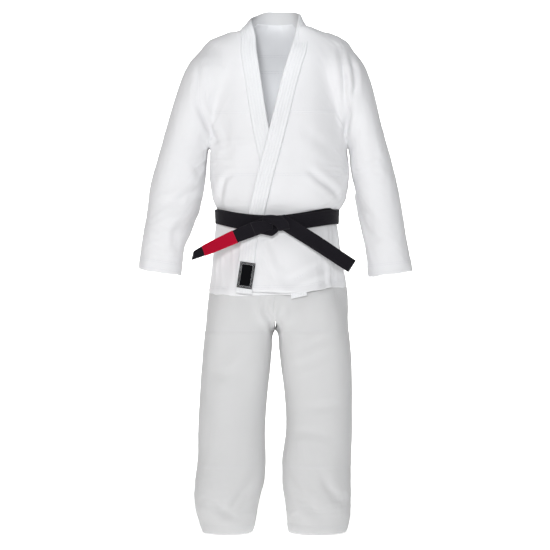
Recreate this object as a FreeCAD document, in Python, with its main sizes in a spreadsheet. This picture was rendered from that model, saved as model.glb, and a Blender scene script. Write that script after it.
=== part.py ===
"""A martial arts uniform in its worn shape: a wrap-over jacket, a belt tied in a flat knot, and trousers.

Millimetres. +Z is up, -Y is the front, and left and right are the wearer's, so left is +X.
Levels in the sheet are heights above the trouser hem. The origin is the middle of the neck opening.
"""

import FreeCAD
import Part

import math
import os

import Sketcher
from FreeCAD import Placement, Rotation, Vector

DIMENSIONS = {
    # general
    "neck_level": 1428,
    "fabric": 2.0,
    "layer_gap": 0.3,
    "seam_gap": 0.5,
    "jacket_power": 2.3,
    "reach": 400,
    # jacket seams and edges
    "collar_top": 1466,
    "collar_bottom": 1424,
    "waist_seam": 1015,
    "patch_bottom": 1190,
    "patch_cover": 1.5,
    "patch_gap": 1.5,
    "patch_top": 1400,
    "yoke_bottom": 1305,
    "yoke_below_neck": 6,
    "vent_top": 846,
    "vent_gap": 12,
    "vent_tape_level": 854,
    "vent_tape_length": 32,
    "vent_tape_width": 14,
    "gusset_level": 1104,
    "gusset_size": 52,
    "gusset_turn": 45,
    "overlap_lift": 10.5,
    # collar and lapels
    "lapel_width": 50,
    "lapel_thickness": 5.0,
    "lapel_cover": 1.3,
    "lapel_fold": 3.0,
    # name patch on the lapel
    "patch_width": 46,
    "patch_height": 75,
    "patch_centre_x": -80,
    "patch_level": 735,
    "patch_tilt": 7.5,
    "patch_thickness": 1.2,
    "border_width": 3.0,
    "border_thickness": 0.5,
    "border_gap": 0.1,
    # armholes
    "shoulder_x": 190,
    "shoulder_level": 1262,
    "armhole_radius": 116,
    "cuff_tape": 28,
    # belt
    "belt_width": 40,
    "belt_thickness": 4.0,
    "belt_inner_level": 899,
    "belt_outer_level": 891,
    "belt_half_width": 169,
    "belt_front": 133,
    "belt_back": 127,
    "belt_tilt": 6.5,
    "knot_level": 873,
    "belt_end_level": 879,
    "knot_core_width": 7,
    "knot_core_height": 40,
    "knot_core_depth": 7,
    "knot_front": 165,
    "knot_thickness": 16,
    "knot_width": 74,
    "knot_height": 58,
    "knot_corner": 14,
    "knot_round": 5,
    "belt_end_front": 148,
    "belt_end_thickness": 4.5,
    "belt_end_pivot_x": 25,
    "belt_end_corner": 2,
    "right_end_length": 226,
    "right_end_slope": 24,
    "left_end_length": 222,
    "left_end_slope": 32.5,
    "rank_bar_length": 98,
    "rank_bar_from_tip": 34,
    "rank_bar_cover": 1.0,
    # trousers
    "trouser_power": 2.25,
    "crotch_level": 588,
    "leg_top": 655,
    "leg_pivot_level": 600,
    "hip_radius": 128.5,
    "centre_strip": 11.5,
    "leg_start_x": 12.5,
    "crotch_cutout_width": 24.5,
    "crotch_cutout_depth": 80,
    "leg_hem_tape": 28,
    "knee_patch_top": 575,
    "knee_patch_bottom": 190,
    "knee_patch_start": 12,
    "knee_patch_inner_x": 32,
    "waistband_bottom": 880,
    "waistband_height": 42,
    "waist_half_width": 148,
    "waist_half_depth": 94,
    "waistband_thickness": 4.0,
    "waistband_wall": 1.2,
    "drawstring_width": 12,
    "drawstring_thickness": 1.0,
    "loop_width": 12,
    "loop_thickness": 1.5,
    "loop_clearance": 2.0,
    "loop_angle": 80,
    "loop_margin": 3,
}

# Level, half width, depth in front of the body axis and depth behind it.
JACKET_SECTIONS = {
    "jacket_hem": (669, 206, 119, 132),
    "hip": (745, 202, 119, 132),
    "flap": (805, 190, 117, 127),
    "under_belt": (850, 168, 113, 119),
    "over_belt": (918, 161, 112, 117),
    "blouse": (966, 188, 124, 128),
    "rib": (1040, 188, 128, 131),
    "armpit": (1140, 187, 129, 131),
    "chest": (1240, 188, 124, 127),
    "shoulder_blade": (1310, 190, 110, 117),
    "shoulder_point": (1350, 188, 94, 103),
    "shoulder_top": (1378, 178, 80, 90),
    "shoulder_slope": (1396, 156, 70, 79),
    "neck_slope": (1411, 128, 65, 72),
    "neck": (1428, 94, 62, 66),
    "collar_middle": (1447, 79, 58, 63),
    "collar_edge": (1466, 68, 55, 60),
}

# Level, middle, half width, half depth, and the power of the side that faces the other leg.
LEG_SECTIONS = {
    "leg_hem": (0, 125, 78, 70, 2.2),
    "ankle": (62, 128, 86, 78, 2.2),
    "shin": (126, 126, 95, 85, 2.2),
    "calf": (193, 121, 98, 86, 2.2),
    "knee": (300, 120.5, 94, 86, 2.2),
    "low_thigh": (395, 119, 92, 92, 2.4),
    "thigh": (470, 111, 98, 99, 3.2),
    "high_thigh": (535, 108, 95.5, 106, 5),
    "seat": (600, 106, 93.5, 112, 9),
    "leg_end": (670, 30, 169.5, 112, 2.2),
}

# Level, half width, depth in front and depth behind.
HIP_SECTIONS = {
    "seat_low": (640, 199.5, 113, 117),
    "seat_high": (720, 196, 112, 117),
    "high_hip": (800, 178, 104, 109),
    "trouser_waist": (879, 153, 97, 99),
}

# Middle x, level, turn from level about the front axis, half width and half depth.
SLEEVE_SECTIONS = {
    "sleeve_head": (150, 1292, 90, 72, 92),
    "sleeve_cap": (196, 1275, 45, 68, 100),
    "sleeve_top": (234, 1207, 20, 57, 96),
    "upper_arm": (256, 1138, 14, 56, 91),
    "elbow_high": (274, 1030, 10, 66, 82),
    "elbow_low": (294, 930, 11, 69, 72),
    "forearm": (316, 832, 11, 62, 60),
    "cuff": (330, 740, 10.6, 65, 50),
}

# The edge of each lapel that lies nearest the neck opening, from collar to hem, as its level and its
# distance towards its own side. The left one lies on top, and crosses further over.
LEFT_LAPEL_EDGE = {
    "lapel_a": (60, 1475),
    "lapel_b": (57, 1428),
    "lapel_c": (44, 1370),
    "lapel_d": (24, 1300),
    "lapel_e": (-3, 1195),
    "lapel_f": (-20, 1120),
    "lapel_g": (-50, 1016),
    "lapel_h": (-77, 905),
    "lapel_i": (-98, 820),
    "lapel_j": (-112, 660),
}
RIGHT_LAPEL_EDGE = {
    "under_a": (62, 1475),
    "under_b": (60, 1428),
    "under_c": (52, 1370),
    "under_d": (41, 1300),
    "under_e": (25, 1195),
    "under_f": (11, 1120),
    "under_g": (-11, 1016),
    "under_h": (-36, 905),
    "under_i": (-60, 820),
    "under_j": (-96, 660),
}

OUTLINE_POINTS = 24

doc = FreeCAD.newDocument("uniform")
sheet = doc.addObject("Spreadsheet::Sheet", "Dimensions")
parts = []


def fill_sheet():
    """Writes every driving dimension into the sheet, one aliased cell each."""
    cells = dict(DIMENSIONS)
    tables = (
        (JACKET_SECTIONS, ("level", "width", "front", "back")),
        (LEG_SECTIONS, ("level", "middle", "width", "depth", "power")),
        (HIP_SECTIONS, ("level", "width", "front", "back")),
        (SLEEVE_SECTIONS, ("middle", "level", "turn", "width", "depth")),
        (LEFT_LAPEL_EDGE, ("x", "level")),
        (RIGHT_LAPEL_EDGE, ("x", "level")),
    )
    for table, columns in tables:
        for name, values in table.items():
            for column, value in zip(columns, values):
                cells[f"{name}_{column}"] = value
    for row, (alias, value) in enumerate(cells.items(), start=1):
        sheet.set(f"A{row}", alias)
        sheet.set(f"B{row}", str(value))
        sheet.setAlias(f"B{row}", alias)
    doc.recompute()


def size(alias):
    """A dimension, read back from the sheet."""
    return float(getattr(sheet, alias))


def sizes(table, columns):
    """The rows of a section table, read back from the sheet."""
    return [tuple(size(f"{name}_{column}") for column in columns) for name in table]


def keep(thing, label):
    """Names an object as one of the pieces that are written out."""
    thing.Label = label
    parts.append(thing)
    return thing


def cloth(label, shape):
    """A piece cut from formed cloth, whose shape no sketch gives, set down with the neck as origin."""
    thing = doc.addObject("Part::Feature", label)
    thing.Shape = shape.removeSplitter() if len(shape.Solids) == 1 else shape
    thing.Placement = Placement(Vector(0, 0, -size("neck_level")), Rotation())
    return keep(thing, label)


# ---------------------------------------------------------------- cloth surfaces


def signed_power(value, power):
    return math.copysign(abs(value) ** power, value)


def closed_spline(points):
    curve = Part.BSplineCurve()
    curve.interpolate(points, PeriodicFlag=True)
    return Part.Wire([curve.toShape()])


def level_outline(level, width, front, back, power):
    """A rounded outline at one level, with its own depth in front and behind."""
    points = []
    for step in range(OUTLINE_POINTS):
        turn = 2 * math.pi * step / OUTLINE_POINTS
        depth = back if math.sin(turn) > 0 else front
        x = width * signed_power(math.cos(turn), 2 / power)
        y = depth * signed_power(math.sin(turn), 2 / power)
        points.append(Vector(x, y, level))
    return closed_spline(points)


def loft(wires):
    return Part.makeLoft(wires, True, False)


def past_ends(rows, column, by=2.0):
    """Section rows with the first and last levels moved outwards, so that a cut leaves both ends open."""
    first, last = list(rows[0]), list(rows[-1])
    way = math.copysign(by, last[column] - first[column])
    first[column] -= way
    last[column] += way
    return [tuple(first), *rows[1:-1], tuple(last)]


def jacket_solid(side, front, back, longer=False):
    """The jacket's whole form, grown by side, front and back."""
    rows = sizes(JACKET_SECTIONS, ("level", "width", "front", "back"))
    rows = past_ends(rows, 0) if longer else rows
    power = size("jacket_power")
    return loft([level_outline(z, w + side, f + front, b + back, power) for z, w, f, b in rows])


def jacket_layer(low, thickness, lift=0.0):
    """A layer of the jacket: low is its inner offset, and lift is what its front stands out by."""
    outer = jacket_solid(low + thickness, low + thickness + lift, low + thickness)
    inner = jacket_solid(low, low + lift, low, longer=True)
    return outer.cut(inner)


def leg_outline(level, middle, width, depth, inner_power, grow):
    """A left leg's outline: round outside, and flatter where it faces the other leg near the crotch."""
    points = []
    outer_power = size("trouser_power")
    for step in range(OUTLINE_POINTS):
        turn = 2 * math.pi * step / OUTLINE_POINTS
        power = outer_power if math.cos(turn) > 0 else inner_power
        x = middle + (width + grow) * signed_power(math.cos(turn), 2 / power)
        y = (depth + grow) * signed_power(math.sin(turn), 2 / power)
        points.append(Vector(x, y, level))
    return closed_spline(points)


def leg_layer(low, thickness):
    """A tube of trouser leg, with its inner face grown by low."""
    rows = sizes(LEG_SECTIONS, ("level", "middle", "width", "depth", "power"))
    outer = loft([leg_outline(*row, low + thickness) for row in rows])
    inner = loft([leg_outline(*row, low) for row in past_ends(rows, 0)])
    return outer.cut(inner)


def hip_layer(low, thickness):
    """The trousers above the legs."""
    rows = sizes(HIP_SECTIONS, ("level", "width", "front", "back"))
    power = size("trouser_power")

    def solid(grow, chosen):
        return loft([level_outline(z, w + grow, f + grow, b + grow, power) for z, w, f, b in chosen])

    return solid(low + thickness, rows).cut(solid(low, past_ends(rows, 0)))


def sleeve_arc(row, grow, way):
    """Half of an oval across the left sleeve, in a plane turned about the front axis."""
    middle, level, turn, width, depth = row
    across = Vector(math.cos(math.radians(turn)), 0, math.sin(math.radians(turn)))
    half_seam, count = size("seam_gap") / 2, OUTLINE_POINTS // 2
    points = []
    for step in range(count + 1):
        round_it = math.pi * step / count
        reach = across * ((width + grow) * math.cos(round_it))
        y = way * (half_seam + (depth + grow - half_seam) * math.sin(round_it))
        points.append(Vector(middle, y, level) + reach)
    return points


def sleeve_shell(way, low, thickness):
    """Half of the left sleeve, bending over the shoulder and hanging beside the body: way is -1 in front."""
    wires = []
    for row in sizes(SLEEVE_SECTIONS, ("middle", "level", "turn", "width", "depth")):
        outer = sleeve_arc(row, low + thickness, way)
        inner = sleeve_arc(row, low, way)[::-1]
        edges = [
            spline_edge(outer),
            Part.makeLine(outer[-1], inner[0]),
            spline_edge(inner),
            Part.makeLine(inner[-1], outer[0]),
        ]
        wires.append(Part.Wire(edges))
    return loft(wires)


# ---------------------------------------------------------------- cutters


def block(x0, x1, y0, y1, z0, z1):
    return Part.makeBox(x1 - x0, y1 - y0, z1 - z0, Vector(x0, y0, z0))


def front_block(z0, z1):
    far = size("reach")
    return block(-far, far, -far, -size("seam_gap") / 2, z0, z1)


def back_block(z0, z1):
    far = size("reach")
    return block(-far, far, size("seam_gap") / 2, far, z0, z1)


def mirrored(shape):
    """The same piece for the other side of the body."""
    return shape.mirror(Vector(0, 0, 0), Vector(1, 0, 0))


def armholes():
    """The round spaces that the sleeve heads turn in."""
    place = Vector(size("shoulder_x"), 0, size("shoulder_level"))
    ball = Part.makeSphere(size("armhole_radius"), place)
    return ball.fuse(mirrored(ball))


def spline_edge(points):
    curve = Part.BSplineCurve()
    curve.interpolate(points)
    return curve.toShape()


def lapel_edge(side, inset=0.0):
    """The lapel's edge beside the opening, moved outwards by inset. side is 1 for the left lapel."""
    rows = sizes(LEFT_LAPEL_EDGE if side > 0 else RIGHT_LAPEL_EDGE, ("x", "level"))
    return [Vector(side * (x + inset), -size("reach"), z) for x, z in rows]


def front_prism(points_in, points_out):
    """What lies between two edges, seen from the front."""
    wire = Part.Wire(
        [
            spline_edge(points_in),
            Part.makeLine(points_in[-1], points_out[-1]),
            spline_edge(points_out[::-1]),
            Part.makeLine(points_out[0], points_in[0]),
        ]
    )
    return Part.Face(wire).extrude(Vector(0, size("reach") - size("seam_gap") / 2, 0))


def lapel_prism(side, inset=0.0):
    return front_prism(lapel_edge(side, inset), lapel_edge(side, size("lapel_width") - inset))


def front_panel_prism(side):
    """Everything from just inside the lapel's edge out to the side seam."""
    inner = lapel_edge(side, size("lapel_fold"))
    far = [Vector(side * size("reach"), point.y, point.z) for point in (inner[0], inner[-1])]
    wire = Part.Wire(
        [
            spline_edge(inner),
            Part.makeLine(inner[-1], far[1]),
            Part.makeLine(far[1], far[0]),
            Part.makeLine(far[0], inner[0]),
        ]
    )
    return Part.Face(wire).extrude(Vector(0, size("reach") - size("seam_gap") / 2, 0))


def side_prism(side, level, half_depth, half_height, turn=0.0):
    """A square bar that cuts a patch out of the side of the body, turned about its own axis."""
    bar = block(0, size("reach"), -half_depth, half_depth, -half_height, half_height)
    bar.rotate(Vector(0, 0, 0), Vector(1, 0, 0), turn)
    bar.translate(Vector(0, 0, level))
    return bar if side > 0 else mirrored(bar)


# ---------------------------------------------------------------- jacket


def make_jacket():
    fabric, gap, half = size("fabric"), size("layer_gap"), size("seam_gap") / 2
    seam, neck, hem = size("waist_seam"), size("neck_level"), size("jacket_hem_level")
    vent, lift, holes = size("vent_top"), size("overlap_lift"), armholes()
    under = jacket_layer(0, fabric)
    over = jacket_layer(0, fabric, lift)

    cloth("back_panel", under.common(back_block(seam + half, neck)).cut(holes))
    cloth("back_waist", under.common(back_block(vent + half, seam - half)))
    flap = under.common(back_block(hem, vent - half))
    far = size("reach")
    cloth("back_flap", flap.cut(block(-far, far, -far, size("vent_gap"), 0, vent)))
    for name, side, layer in (("right", -1, under), ("left", 1, over)):
        panel = layer.common(front_panel_prism(side)).cut(holes)
        cloth(f"front_panel_{name}", panel.common(front_block(seam + half, neck)))
        cloth(f"front_skirt_{name}", panel.common(front_block(hem, seam - half)))

    lining = jacket_layer(-fabric - gap, fabric - gap)
    top = neck - size("yoke_below_neck")
    cloth("yoke_lining", lining.common(back_block(size("yoke_bottom"), top)).cut(holes))
    make_reinforcements(holes)


def make_reinforcements(holes):
    """Patches sewn over the shoulders and under the arms, and the tapes at the top of the vents."""
    fabric, gap, cover = size("fabric"), size("layer_gap"), size("patch_cover")
    clear = size("lapel_width") + size("patch_gap")
    under = jacket_layer(fabric + gap, cover)
    over = jacket_layer(fabric + gap, cover, size("overlap_lift"))
    front = front_block(0, size("collar_top"))
    top = size("patch_top")
    for name, side, layer in (("right", -1, under), ("left", 1, over)):
        inner = lapel_edge(side, clear)
        outer = [Vector(side * size("reach"), point.y, point.z) for point in inner]
        cut = front_prism(inner, outer).common(front_block(size("patch_bottom"), top))
        cloth(f"shoulder_patch_{name}", layer.common(cut).cut(holes))
        half = size("gusset_size") / 2
        gusset = side_prism(side, size("gusset_level"), half, half, size("gusset_turn"))
        cloth(f"armpit_gusset_{name}", under.common(gusset).cut(holes).cut(front))
        half_length, half_width = size("vent_tape_length") / 2, size("vent_tape_width") / 2
        tape = side_prism(side, size("vent_tape_level"), half_length, half_width)
        cloth(f"vent_tape_{name}", under.common(tape).cut(front))


def make_lapels():
    """The collar band: a cover folded round a firm core, down both fronts and round the neck."""
    gap, thickness, cover = size("layer_gap"), size("lapel_thickness"), size("lapel_cover")
    low = size("fabric") + gap
    fold, hem = size("lapel_fold"), size("jacket_hem_level")
    bottom, top = size("collar_bottom"), size("collar_top")
    for name, side, lift in (("right", -1, 0.0), ("left", 1, size("overlap_lift"))):
        whole = jacket_layer(low, thickness, lift).common(lapel_prism(side))
        room = jacket_layer(low + cover, thickness - 2 * cover, lift)
        room = room.common(lapel_prism(side, fold)).common(front_block(hem + fold, top - fold))
        core = jacket_layer(low + cover + gap, thickness - 2 * cover - 2 * gap, lift)
        core = core.common(lapel_prism(side, fold + gap))
        cloth(f"lapel_{name}", whole.cut(room))
        cloth(f"lapel_core_{name}", core.common(front_block(hem + fold + gap, top - fold - gap)))
    whole = jacket_layer(low, thickness).common(back_block(bottom, top))
    room = jacket_layer(low + cover, thickness - 2 * cover)
    core = jacket_layer(low + cover + gap, thickness - 2 * cover - 2 * gap)
    inner_block = back_block(bottom + fold, top - fold)
    inner_block.translate(Vector(0, fold, 0))
    core_block = back_block(bottom + fold + gap, top - fold - gap)
    core_block.translate(Vector(0, fold + gap, 0))
    cloth("collar_band", whole.cut(room.common(inner_block)))
    cloth("collar_core", core.common(core_block))


def patch_bar(grow):
    """A bar from the front in the outline of the lapel's patch, smaller by grow on each side."""
    width, height = size("patch_width") / 2 - grow, size("patch_height") / 2 - grow
    bar = block(-width, width, -size("reach"), -1, -height, height)
    bar.rotate(Vector(0, 0, 0), Vector(0, 1, 0), size("patch_tilt"))
    bar.translate(Vector(size("patch_centre_x"), 0, size("patch_level")))
    return bar


def make_patch():
    """The woven patch low on the left lapel, with the border stitched on it."""
    gap, thickness, lift = size("layer_gap"), size("patch_thickness"), size("overlap_lift")
    low = size("fabric") + size("lapel_thickness") + 2 * gap
    border, raised = size("border_width"), size("border_thickness")
    low_border = low + thickness + size("border_gap")
    cloth("lapel_patch", jacket_layer(low, thickness, lift).common(patch_bar(0)))
    frame = patch_bar(border).cut(patch_bar(2 * border))
    outer = jacket_solid(low_border + raised, low_border + raised + lift, low_border + raised)
    frame = frame.common(outer)
    cloth("lapel_patch_border", frame.cut(jacket_solid(low_border, low_border + lift, low_border)))


def cuff_bar():
    """The end of the left sleeve that the tape inside its cuff covers."""
    tape, far = size("cuff_tape"), size("reach")
    bar = block(-far, far, -far, far, -tape, tape)
    bar.rotate(Vector(0, 0, 0), Vector(0, 1, 0), -size("cuff_turn"))
    bar.translate(Vector(size("cuff_middle"), 0, size("cuff_level")))
    return bar


def make_sleeves():
    """Each sleeve is a front and a back panel, with a tape inside the cuff."""
    fabric, gap = size("fabric"), size("layer_gap")
    tapes = [sleeve_shell(way, -fabric - gap, fabric - gap).common(cuff_bar()) for way in (-1, 1)]
    pieces = {
        "sleeve_front": sleeve_shell(-1, 0, fabric),
        "sleeve_back": sleeve_shell(1, 0, fabric),
        "cuff_tape": Part.makeCompound([solid for tape in tapes for solid in tape.Solids]),
    }
    for label, shape in pieces.items():
        cloth(f"{label}_left", shape)
        cloth(f"{label}_right", mirrored(shape))


# ---------------------------------------------------------------- trousers


def hip_space():
    """The round space that the leg tops turn in, apart from a strip between them."""
    level, far, strip = size("leg_pivot_level"), size("reach"), size("centre_strip")
    barrel = Part.makeCylinder(size("hip_radius"), 2 * far, Vector(-far, 0, level), Vector(1, 0, 0))
    return barrel.cut(block(-strip, strip, -far, far, 0, 2 * far))


def make_hips():
    """The trousers above the legs, and the gusset that joins front to back between them."""
    far, half, fabric = size("reach"), size("seam_gap") / 2, size("fabric")
    low = size("seat_low_level")
    hips = hip_layer(0, fabric).cut(hip_space())
    hips = hips.common(block(-far, far, -far, far, low + half, size("trouser_waist_level")))
    cloth("trouser_front", hips.common(front_block(0, 2 * far)))
    cloth("trouser_seat", hips.common(back_block(0, 2 * far)))

    strip, drop = size("centre_strip"), low - size("crotch_level")
    front, back = size("seat_low_front"), size("seat_low_back")
    depth, middle = (front + back) / 2, (back - front) / 2
    outer = arch(depth + fabric, drop, middle, low, strip)
    inner = arch(depth, drop - fabric, middle, low, 2 * strip)
    gusset = outer.cut(inner).common(block(-far, far, -far, far, 0, low - half))
    cloth("crotch_gusset", gusset)


def arch(half_depth, half_height, middle, level, half_width):
    """An oval bar that runs from side to side."""
    along, up = Vector(0, 1, 0), Vector(0, 0, 1)
    major, minor = max(half_depth, half_height), min(half_depth, half_height)
    oval = Part.Ellipse(Vector(0, 0, 0), major, minor).toShape()
    face = Part.Face(Part.Wire([oval]))
    turn = Rotation(along, up, Vector(1, 0, 0), "XYZ")
    face.Placement = Placement(Vector(-half_width, middle, level), turn)
    return face.extrude(Vector(2 * half_width, 0, 0))


def make_legs():
    fabric, gap, far = size("fabric"), size("layer_gap"), size("reach")
    start, crotch, top = size("leg_start_x"), size("crotch_level"), size("leg_top")
    depth = size("crotch_cutout_depth")
    leg = leg_layer(0, fabric).common(block(start, far, -far, far, 0, top))
    leg = leg.cut(block(0, size("crotch_cutout_width"), -depth, depth, crotch, 2 * far))
    patch = leg_layer(fabric + gap, size("patch_cover"))
    patch = patch.common(
        block(
            size("knee_patch_inner_x"),
            far,
            -far,
            -size("knee_patch_start"),
            size("knee_patch_bottom"),
            size("knee_patch_top"),
        )
    )
    hem = leg_layer(-fabric - gap, fabric - gap).common(block(0, far, -far, far, 0, size("leg_hem_tape")))
    pieces = {
        "leg_front": leg.common(front_block(0, 2 * far)),
        "leg_back": leg.common(back_block(0, 2 * far)),
        "knee_patch": patch,
        "leg_hem_tape": hem,
    }
    for label, shape in pieces.items():
        cloth(f"{label}_left", shape)
        cloth(f"{label}_right", mirrored(shape))


def bind(thing, **expressions):
    """Binds properties to the sheet. A dot in a property's path is written as two underscores."""
    for path, expression in expressions.items():
        thing.setExpression(path.replace("__", "."), expression)


def cell(alias):
    return f"<<Dimensions>>.{alias}"


def oval_prism(name, grow, bottom, height, half_width="waist_half_width", half_depth="waist_half_depth"):
    """An oval column: an ellipse raised by height, all bound to the sheet."""
    oval = doc.addObject("Part::Ellipse", f"{name}_oval")
    bind(
        oval,
        MajorRadius=f"{cell(half_width)} + {grow}",
        MinorRadius=f"{cell(half_depth)} + {grow}",
        Placement__Base__z=f"{bottom} - {cell('neck_level')}",
    )
    column = doc.addObject("Part::Extrusion", name)
    column.Base = oval
    column.DirMode = "Custom"
    column.Dir = Vector(0, 0, 1)
    column.Solid = True
    bind(column, LengthFwd=height)
    return column


def cut_of(base, tool, name):
    result = doc.addObject("Part::Cut", name)
    result.Base = base
    result.Tool = tool
    return result


def make_waistband():
    """A casing round the waist with the drawstring lying in its channel."""
    wall, thick = cell("waistband_wall"), cell("waistband_thickness")
    bottom, height = cell("waistband_bottom"), cell("waistband_height")
    outer = oval_prism("waistband_outer", thick, bottom, height)
    inner = oval_prism("waistband_inner", "0", f"{bottom} - 1", f"{height} + 2")
    channel_height = f"{height} - 2 * {wall}"
    channel_out = oval_prism("channel_outer", f"{thick} - {wall}", f"{bottom} + {wall}", channel_height)
    channel_in = oval_prism("channel_inner", wall, f"{bottom} + {wall} - 1", f"{height} + 2")
    channel = cut_of(channel_out, channel_in, "channel")
    ring = cut_of(outer, inner, "waistband_ring")
    keep(cut_of(ring, channel, "waistband_casing"), "waistband")

    middle = f"({thick} - {cell('drawstring_thickness')}) / 2"
    low = f"{bottom} + ({height} - {cell('drawstring_width')}) / 2"
    tape_out = oval_prism(
        "tape_outer", f"{middle} + {cell('drawstring_thickness')}", low, cell("drawstring_width")
    )
    tape_in = oval_prism("tape_inner", middle, f"{low} - 1", f"{cell('drawstring_width')} + 2")
    keep(cut_of(tape_out, tape_in, "drawstring_ring"), "drawstring")


def make_loops():
    """Two loops on the front of the waistband for the drawstring's ends, as one group."""
    thickness, clearance, width = size("loop_thickness"), size("loop_clearance"), size("loop_width")
    tall, margin = size("waistband_height"), size("loop_margin")
    grow = size("waistband_thickness") + size("layer_gap")
    half_width, half_depth = size("waist_half_width") + grow, size("waist_half_depth") + grow
    loops = []
    for turn in (math.radians(size("loop_angle")), math.radians(180 - size("loop_angle"))):
        place = Vector(half_width * math.cos(turn), -half_depth * math.sin(turn), size("waistband_bottom"))
        facing = math.degrees(math.atan2(half_depth * math.cos(turn), half_width * math.sin(turn)))
        strap = block(-width / 2, width / 2, -clearance - thickness, 0, margin, tall - margin)
        slot = block(-width, width, -clearance, 1, margin + thickness, tall - margin - thickness)
        strap = strap.cut(slot)
        strap.rotate(Vector(0, 0, 0), Vector(0, 0, 1), facing)
        strap.translate(place)
        loops.append(strap)
    cloth("drawstring_loops", Part.makeCompound(loops))


# ---------------------------------------------------------------- belt


def belt_solid(grow, level, height):
    """An upright column in the outline of the belt round the waist."""
    power = size("jacket_power")
    row = (size("belt_half_width") + grow, size("belt_front") + grow, size("belt_back") + grow)
    return loft([level_outline(z, *row, power) for z in (level - height / 2, level + height / 2)])


def make_wraps():
    """The two turns of belt round the waist, one over the other and a little lower."""
    thick, gap, width = size("belt_thickness"), size("layer_gap"), size("belt_width")
    for label, low, level in (
        ("belt_inner_wrap", 0, size("belt_inner_level")),
        ("belt_outer_wrap", thick + gap, size("belt_outer_level")),
    ):
        wrap = belt_solid(low + thick, level, width).cut(belt_solid(low, level, width + 2))
        wrap.rotate(Vector(0, 0, size("belt_inner_level")), Vector(1, 0, 0), size("belt_tilt"))
        cloth(label, wrap)


# ---------------------------------------------------------------- sketched pieces


def plane_of(body, role):
    return [feature for feature in body.Origin.OriginFeatures if feature.Role == role][0]


def sketch_on(body, role, name):
    sketch = body.newObject("Sketcher::SketchObject", name)
    sketch.AttachmentSupport = [(plane_of(body, role), "")]
    sketch.MapMode = "FlatFace"
    return sketch


def draw_polygon(sketch, corners):
    """Straight sides through corners, each of them a pair of sheet expressions."""
    places = [Vector(number(along), number(up), 0) for along, up in corners]
    for index, place in enumerate(places):
        sketch.addGeometry(Part.LineSegment(place, places[(index + 1) % len(places)]), False)
    for index in range(len(places)):
        following = (index + 1) % len(places)
        sketch.addConstraint(Sketcher.Constraint("Coincident", index, 2, following, 1))
    for index, (place, expressions) in enumerate(zip(places, corners)):
        for kind, now, expression in zip(("DistanceX", "DistanceY"), place, expressions):
            at = sketch.addConstraint(Sketcher.Constraint(kind, -1, 1, index, 1, now))
            sketch.setExpression(f"Constraints[{at}]", expression)


def number(expression):
    """What a sheet expression comes to now."""
    return float(sheet.evalExpression(expression))


def pad(body, sketch, name, length, reverse=False):
    feature = body.newObject("PartDesign::Pad", name)
    feature.Profile = sketch
    feature.Reversed = reverse
    bind(feature, Length=length)
    return feature


def make_knot():
    """A flat knot: eight-sided in front, on a narrow core that stands off the belt."""
    body = doc.addObject("PartDesign::Body", "knot_body")
    wide, tall, cut_off = f"{cell('knot_width')} / 2", f"{cell('knot_height')} / 2", cell("knot_corner")
    outline = sketch_on(body, "XZ_Plane", "knot_outline")
    draw_polygon(
        outline,
        [
            (f"-{wide}", f"-{tall} + {cut_off}"),
            (f"-{wide} + {cut_off}", f"-{tall}"),
            (f"{wide} - {cut_off}", f"-{tall}"),
            (wide, f"-{tall} + {cut_off}"),
            (wide, f"{tall} - {cut_off}"),
            (f"{wide} - {cut_off}", tall),
            (f"-{wide} + {cut_off}", tall),
            (f"-{wide}", f"{tall} - {cut_off}"),
        ],
    )
    lump = pad(body, outline, "knot_lump", cell("knot_thickness"))
    doc.recompute()
    front = min((face.CenterOfMass.y, index) for index, face in enumerate(lump.Shape.Faces, start=1))
    rounding = body.newObject("PartDesign::Fillet", "knot_rounding")
    rounding.Base = (lump, [f"Face{front[1]}"])
    bind(rounding, Radius=cell("knot_round"))
    core = sketch_on(body, "XZ_Plane", "knot_core_outline")
    wide, tall = f"{cell('knot_core_width')} / 2", f"{cell('knot_core_height')} / 2"
    draw_polygon(core, [(f"-{wide}", f"-{tall}"), (wide, f"-{tall}"), (wide, tall), (f"-{wide}", tall)])
    pad(body, core, "knot_core", cell("knot_core_depth"), reverse=True)
    bind(
        body,
        Placement__Base__y=f"-{cell('knot_front')} + {cell('knot_thickness')}",
        Placement__Base__z=f"{cell('knot_level')} - {cell('neck_level')}",
    )
    keep(body, "belt_knot")


def place_on_belt(thing, side, slope, along="0"):
    """Sets a piece drawn along +X beside the knot, sloping down, at a distance along the belt's end."""
    lean = slope if side > 0 else 180 - slope
    angle = cell("left_end_slope" if side > 0 else "right_end_slope")
    thing.Placement = Placement(Vector(0, 0, 0), Rotation(Vector(0, 1, 0), lean))
    level = f"{cell('belt_end_level')} - {cell('neck_level')}"
    bind(
        thing,
        Placement__Base__x=f"{side} * ({cell('belt_end_pivot_x')} + {along} * cos({angle}))",
        Placement__Base__y=f"-{cell('belt_end_front')} + {cell('belt_end_thickness')} / 2",
        Placement__Base__z=f"{level} - {along} * sin({angle})",
    )


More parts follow.
